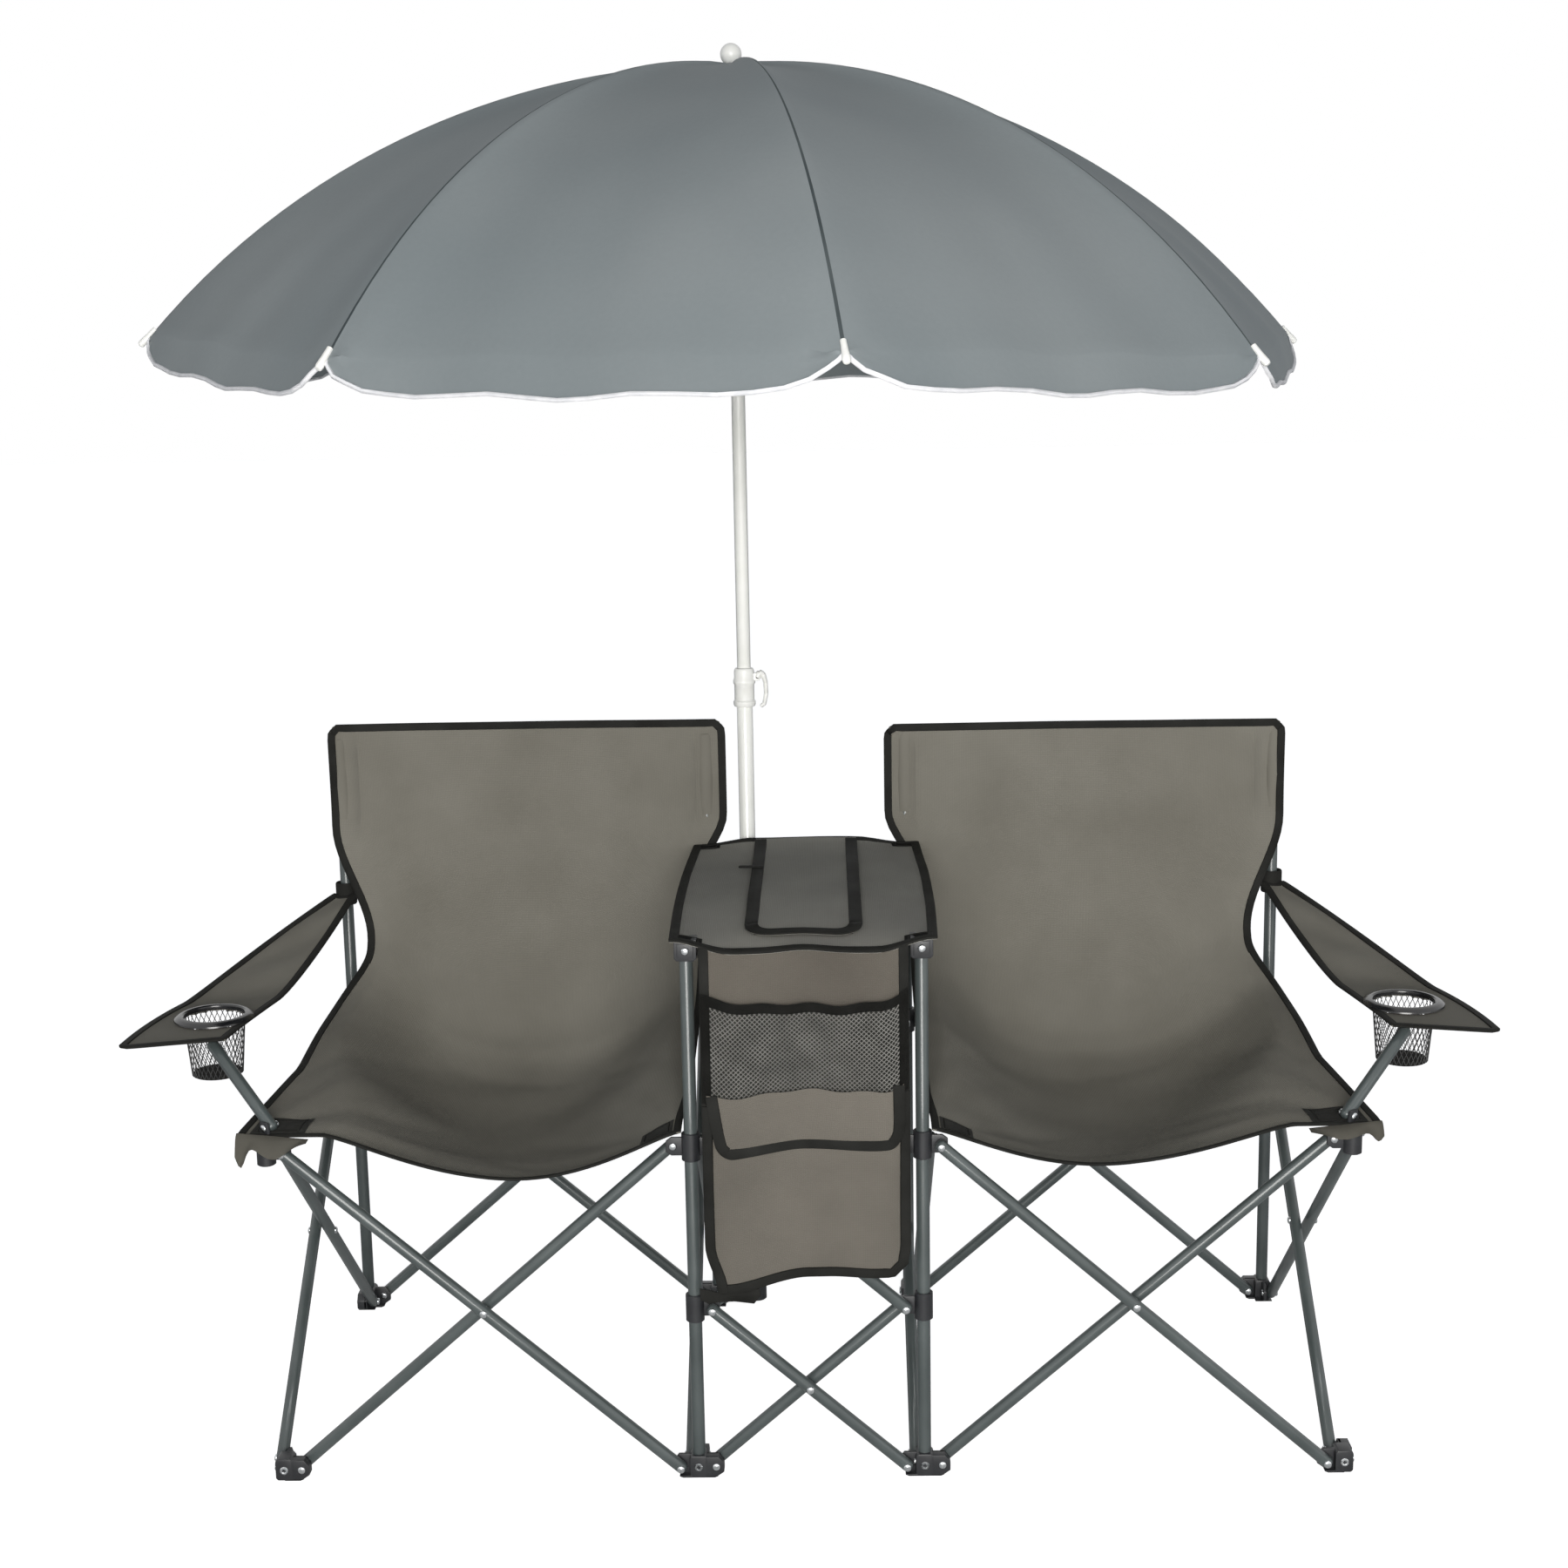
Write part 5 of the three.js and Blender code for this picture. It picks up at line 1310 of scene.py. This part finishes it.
# %% [markdown]
# ## The parasol
#
# Eight ribs hold one smooth cap of cloth. Along each seam the cap follows the rib's arc, between two seams it is
# nearly straight across, and outside the rim a short scalloped hem hangs from rib tip to rib tip. A lathe would make
# it round, so it is drawn as a surface over the angle and the distance from the pole.

# %% The canopy's surface
APEX, RIM_Z, RIM_R, PANELS, FIRST_RIB = 1606.0, 1285.0, 706.0, 8, radians(-170)
RIB_TIPS = [(712, 1291), (686, 1259), (733, 1256), (700, 1246), (722, 1272), (706, 1264), (706, 1262), (706, 1270)]
ARC_R = (RIM_R ** 2 + (APEX - RIM_Z) ** 2) / (2 * (APEX - RIM_Z))
PANEL = 2 * pi / PANELS
HEM_DROP, HEM_OUT, HEM_IN_AT_SIDES = 41, 33, 19


def rim_at(turn_share):
    """How far out and how high the rim is, which each sprung rib sets a little differently."""
    along_rim = turn_share * PANELS
    share = smooth(along_rim % 1, 0, 1)
    near, far = RIB_TIPS[int(along_rim) % PANELS], RIB_TIPS[(int(along_rim) + 1) % PANELS]
    return mix(near[0], far[0], share), mix(near[1], far[1], share)


def cap_spot(turn_share, way_out, flatten=1.0):
    """A point of the smooth cap: the same arc on every side, scaled to the rim there."""
    rim_r, rim_z = rim_at(turn_share)
    arc = ARC_R - sqrt(ARC_R ** 2 - (RIM_R * way_out) ** 2)
    angle = FIRST_RIB + turn_share * 2 * pi
    reach = mix(9.3, rim_r, way_out) * flatten
    return POLE + Vector((cos(angle) * reach, sin(angle) * reach, APEX - arc * (APEX - rim_z) / (APEX - RIM_Z)))


def canopy_surface(turn_share, way_out):
    """Way out is 0 at the pole, 1 at the rim, and past 1 down the hem."""
    in_panel = turn_share * PANELS % 1
    from_seam = (in_panel - 0.5) * PANEL
    share = min(way_out, 1)
    flatten = mix(1, cos(PANEL / 2) / cos(from_seam), min(1, share * 3))
    seam = min(in_panel, 1 - in_panel)
    spot = cap_spot(turn_share, share, flatten)
    hang = (1 - exp(-seam / 0.042)) * (0.86 + 0.14 * sin(pi * in_panel))
    down = max(0, way_out - 1) * hang
    dip = 2.2 * exp(-((seam / 0.007) ** 2)) * smooth(way_out, 0.05, 0.15)
    slack = 16 * (1 - exp(-seam / 0.13)) * sin(pi * share ** 0.9) ** 0.7
    tug = exp(-seam / 0.06) * smooth(way_out, 0.7, 1)
    pucker = 4.5 * sin(70 * in_panel + 11 * way_out + 2 * turn_share) * tug * (1 - exp(-seam / 0.02))
    fold = 3.2 * sin(19 * in_panel + 7 * turn_share) * sin(pi * in_panel) * smooth(way_out, 0.55, 1)
    out = Vector((spot.x - POLE.x, spot.y - POLE.y, 0)).normalized()
    lower = Vector((0, 0, HEM_DROP * down + dip + slack - pucker - fold))
    return spot + out * ((HEM_OUT - HEM_IN_AT_SIDES * out.x ** 2) * down - 0.5 * slack) - lower


SEAM_SHARES = [0, 0.0035, 0.012, 0.03, 0.06, 0.1, 0.15, 0.21, 0.28, 0.36, 0.44, 0.5, 0.56, 0.64, 0.72, 0.79, 0.85]
SEAM_SHARES += [0.9, 0.94, 0.97, 0.988, 0.9965]
canopy_turns = [(p + s) / PANELS for p in range(PANELS) for s in SEAM_SHARES]
canopy_outs = [0, 0.02, 0.05] + steps(0.09, 0.97, 26) + [0.985, 1, 1.08, 1.25, 1.5, 1.75, 1.92, 2]

# %% [markdown]
# The sheet closes on itself all round, and its own length round the rim and out from the pole go into the UV, so the
# fine weave keeps one size. The white piping is a round cord along the hem.

# %% The canopy
CANOPY_ROUND, CANOPY_OUT, CORD_R = 4.4, 0.75, 2.6  # metres round the rim and out from the pole, and mm
work = bmesh.new()
along = work.loops.layers.uv.new("UVMap")
rings = [[work.verts.new(canopy_surface(t, out)) for t in canopy_turns] for out in canopy_outs]
for j in range(len(canopy_outs) - 1):
    for i in range(len(canopy_turns)):
        k = (i + 1) % len(canopy_turns)
        face = work.faces.new((rings[j][i], rings[j][k], rings[j + 1][k], rings[j + 1][i]))
        ends = (canopy_turns[i], canopy_turns[i] + (canopy_turns[k] - canopy_turns[i]) % 1)
        shares = ((ends[0], j), (ends[1], j), (ends[1], j + 1), (ends[0], j + 1))
        for loop, (t, row) in zip(face.loops, shares):
            loop[along].uv = (t * CANOPY_ROUND, canopy_outs[row] * CANOPY_OUT)
        face.material_index = 2 if i % len(SEAM_SHARES) in (0, len(SEAM_SHARES) - 1) and j > 2 else 0
bmesh.ops.recalc_face_normals(work, faces=work.faces)
if sum(f.normal.z for f in work.faces) < 0:
    bmesh.ops.reverse_faces(work, faces=work.faces)
bmesh.ops.solidify(work, geom=work.faces[:], thickness=1.0)

cord = [canopy_surface(t, 2) for t in canopy_turns]
count = len(cord)
rows = []
for i, spot in enumerate(cord):
    run = (cord[(i + 1) % count] - cord[i - 1]).normalized()
    out = (Vector((spot.x, spot.y, 0)) - Vector((POLE.x, POLE.y, 0))).normalized()
    side = run.cross(out).normalized()
    out = side.cross(run).normalized()
    rows.append([work.verts.new(spot + (out * cos(a) + side * sin(a)) * CORD_R) for a in turns(6)])
skin(work, rows, 1, closed=True)
finishes = [pongee, piping, seam_thread]
piece = settle("canopy_cloth", work, finishes, body_with["canopy"], ["canopy"], smooth=60)

# %% [markdown]
# Under the cloth a steel rib runs to each tip, a stretcher props it from the runner on the pole, and a white cap
# ends it. The top of the pole carries a crown and a ball.

# %% Ribs, stretchers and the upper pole
RIB_R, RUNNER_Z = 2.6, 1350
work = bmesh.new()
for k in range(PANELS):
    angle = FIRST_RIB + k * PANEL
    out = Vector((cos(angle), sin(angle), 0))
    spots = [cap_spot(k / PANELS, i / 14 * 0.985) - Vector((0, 0, 7)) - out * 3 * i / 14 for i in range(15)]
    for a, b in zip(spots, spots[1:]):
        turn(work, a, b - a, [(-0.3, RIB_R), ((b - a).length + 0.3, RIB_R)], 0, 10)
    run = (spots[-1] - spots[-2]).normalized()
    cap = [(-14, 0), (-14, 3.2), (-2, 3.6), (6, 4.2), (10, 4.4), (13, 3.4), (14, 0)]
    turn(work, cap_spot(k / PANELS, 1) + out * 2 - Vector((0, 0, 2)), run, cap, 1, 14)
    reach = spots[7] - Vector((0, 0, 1))
    foot = POLE + out * 10 + Vector((0, 0, RUNNER_Z))
    rod(work, foot, reach, 2, 0, 10)
    turn(work, reach - Vector((0, 0, 3)), (0, 0, 1), [(-3, 0), (-3, 4), (5, 4), (5, 0)], 2, 10)
turn(work, POLE, (0, 0, 1), [(650, 0), (650, 8), (651.5, 8.7), (1604, 8.7), (1604, 0)])
crown = [(1592, 8.8), (1592, 12.4), (1594, 13.6), (1601, 13.6), (1603, 12), (1603, 8.8)]
turn(work, POLE, (0, 0, 1), crown, 1)
runner = [(1330, 8.8), (1331, 12), (1334, 13.7), (1340, 12.6), (1350, 12.6), (1354, 13.7), (1357, 12.5), (1357, 8.8)]
turn(work, POLE, (0, 0, 1), runner, 1)
BALL_Z, BALL_R = 1617, 13.3
ball = [(BALL_Z - BALL_R * cos(a), BALL_R * sin(a)) for a in steps(0.75, pi - 0.02, 16)] + [(1630.3, 0)]
turn(work, POLE, (0, 0, 1), [(1600, 0), (1600, 7.5), (1606, 7.5), (1607, 8.6)] + ball, 1)
node, finishes = "parasol_frame", [enamel, white_abs, nylon]
settle("parasol_frame_and_finial", work, finishes, body_with[node], [node])

# %% [markdown]
# The lower pole is a wider tube. A moulded collar closes on the upper one, and a hooked lever turns to lock it.

# %% Lower pole, collar and lever
work = bmesh.new()
tube = [(3.2, 0), (3.2, 9.6), (4, 10.2), (841, 10.2), (842, 9.6), (842, 8.9), (700, 8.9), (700, 0)]
turn(work, POLE, (0, 0, 1), tube, 0, 32)
settle("lower_pole_enamel", work, [enamel], body_with["lower_pole"], ["lower_pole"])

work = bmesh.new()
profile = [(812, 10.4), (812, 13), (815, 14.4), (818.5, 14.4), (820.5, 12.8), (840, 12.8), (842, 14.2), (846, 14.2),
           (848, 12.9), (858, 12.9), (861, 11.6), (862, 9), (862, 8.8)]
turn(work, POLE, (0, 0, 1), profile, 0, 36)
moulding(work, [(8, 845), (20, 845), (20, 855), (8, 855)], 9, Matrix.Translation(POLE), 0, edge=1.0)
settle("pole_collar_moulding", work, [white_abs], body_with["pole_collar"], ["pole_collar"])

work = bmesh.new()
hook_line = [(17.3, 850, 5), (20, 855, 4.2), (24.5, 853, 3.4), (27.5, 842, 3.0)]
hook_line += [(28, 828, 2.8), (25.5, 815, 2.7), (21.5, 812, 2.6)]
hook = [(Vector((x, 0, z)), radius) for x, z, radius in hook_line]
for (a, ra), (b, rb) in zip(hook, hook[1:]):
    part = bmesh.new()
    reach = (b - a).length
    turn(part, a, b - a, [(-1, ra * 0.8), (0, ra), (reach, rb), (reach + 1, rb * 0.8)], 0, 14)
    part.transform(Matrix.Translation(POLE) @ Matrix.Scale(1.35, 4, (0, 1, 0)))
    absorb(work, part, 0)
turn(work, POLE + Vector((17.3, -5.4, 850)), (0, 1, 0), [(0, 0), (0, 2.2), (10.8, 2.2), (10.8, 0)], 1, 14)
settle("collar_lever_moulding", work, [white_abs, nylon], body_with["collar_lever"], ["collar_lever"])

# %% [markdown]
# ## Floor and light
#
# The photograph has a pure white ground with faint soft shadows under the feet. The floor is a white surface whose
# own colour does that: to the camera it glows a little, so it reaches white, and it still takes shadows. The world is
# white wherever it is seen, and dimmer as a light.

# %% Floor
floor_finish, tree, shader = new_finish("studio_floor", {"Base Color": colour("#f4f4f4"), "Roughness": 0.9})
path = add_node(tree, "LightPath")
tree.links.new(path.outputs["Is Camera Ray"], shader.inputs["Emission Strength"])
shader.inputs["Emission Color"].default_value = colour("#ebebeb")

work = bmesh.new()
bmesh.ops.create_grid(work, x_segments=1, y_segments=1, size=30)
mesh = bpy.data.meshes.new("studio_floor")
work.to_mesh(mesh)
work.free()
mesh.materials.append(floor_finish)
floor = bpy.data.objects.new("studio_floor", mesh)
bpy.context.scene.collection.objects.link(floor)
floor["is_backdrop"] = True

# %% World and lamps
world = bpy.data.worlds.new("studio")
bpy.context.scene.world = world
world.use_nodes = True
tree = world.node_tree
tree.nodes.clear()
path = add_node(tree, "LightPath")
seen = path.outputs["Is Camera Ray"]
for ray in ("Is Glossy Ray", "Is Transmission Ray"):
    seen = add_node(tree, "Math", {0: seen, 1: path.outputs[ray]}, operation="MAXIMUM").outputs[0]
facing = add_node(tree, "SeparateXYZ", {"Vector": add_node(tree, "TexCoord").outputs["Generated"]})
fall = {"Value": facing.outputs["Z"], "From Min": 0.0, "From Max": 1.0, "To Min": 0.44, "To Max": 0.0}
dome = add_node(tree, "MapRange", fall)
strength = add_node(tree, "Mix", {"Factor": seen, "A": dome.outputs[0], "B": 1.0}, data_type="FLOAT")
whites = {"Factor": seen, "A": colour("#eef6ff"), "B": colour("#ffffff")}
tint = add_node(tree, "Mix", whites, data_type="RGBA")
light = add_node(tree, "Background", {"Color": tint.outputs["Result"], "Strength": strength.outputs[0]})
add_node(tree, "OutputWorld", {"Surface": light.outputs[0]})


def lamp(name, spot, size, watts, aim=(0, 0.2, 0.6)):
    light = bpy.data.lights.new(name, "AREA")
    light.size, light.energy = size, watts
    holder = bpy.data.objects.new(name, light)
    bpy.context.scene.collection.objects.link(holder)
    holder.location = spot
    holder.rotation_euler = (Vector(aim) - Vector(spot)).to_track_quat("-Z", "Y").to_euler()
    return light


key = lamp("key", (0.1, -4.4, 1.35), 2.0, 150)
key.color = (1.0, 0.985, 0.955)
lamp("fill", (3.3, -2.6, 1.3), 2.0, 9)
strip_light = lamp("strip", (0.2, -1.9, 3.0), 2.6, 5)
strip_light.shape, strip_light.size_y = "RECTANGLE", 0.05

# %% [markdown]
# ## Sizes
#
# The cloth may stand a little proud of the CAD box. Both boxes are printed, corner by corner, in millimetres.

# %% Print the boxes
boxes = {"cad": [list(corner) for corner in cad_box], "visual": [list(corner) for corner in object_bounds()]}
for low, high in zip(boxes["cad"][0] + boxes["cad"][1], boxes["visual"][0] + boxes["visual"][1]):
    print("box in mm:", round(low * 1000, 1), round(high * 1000, 1))
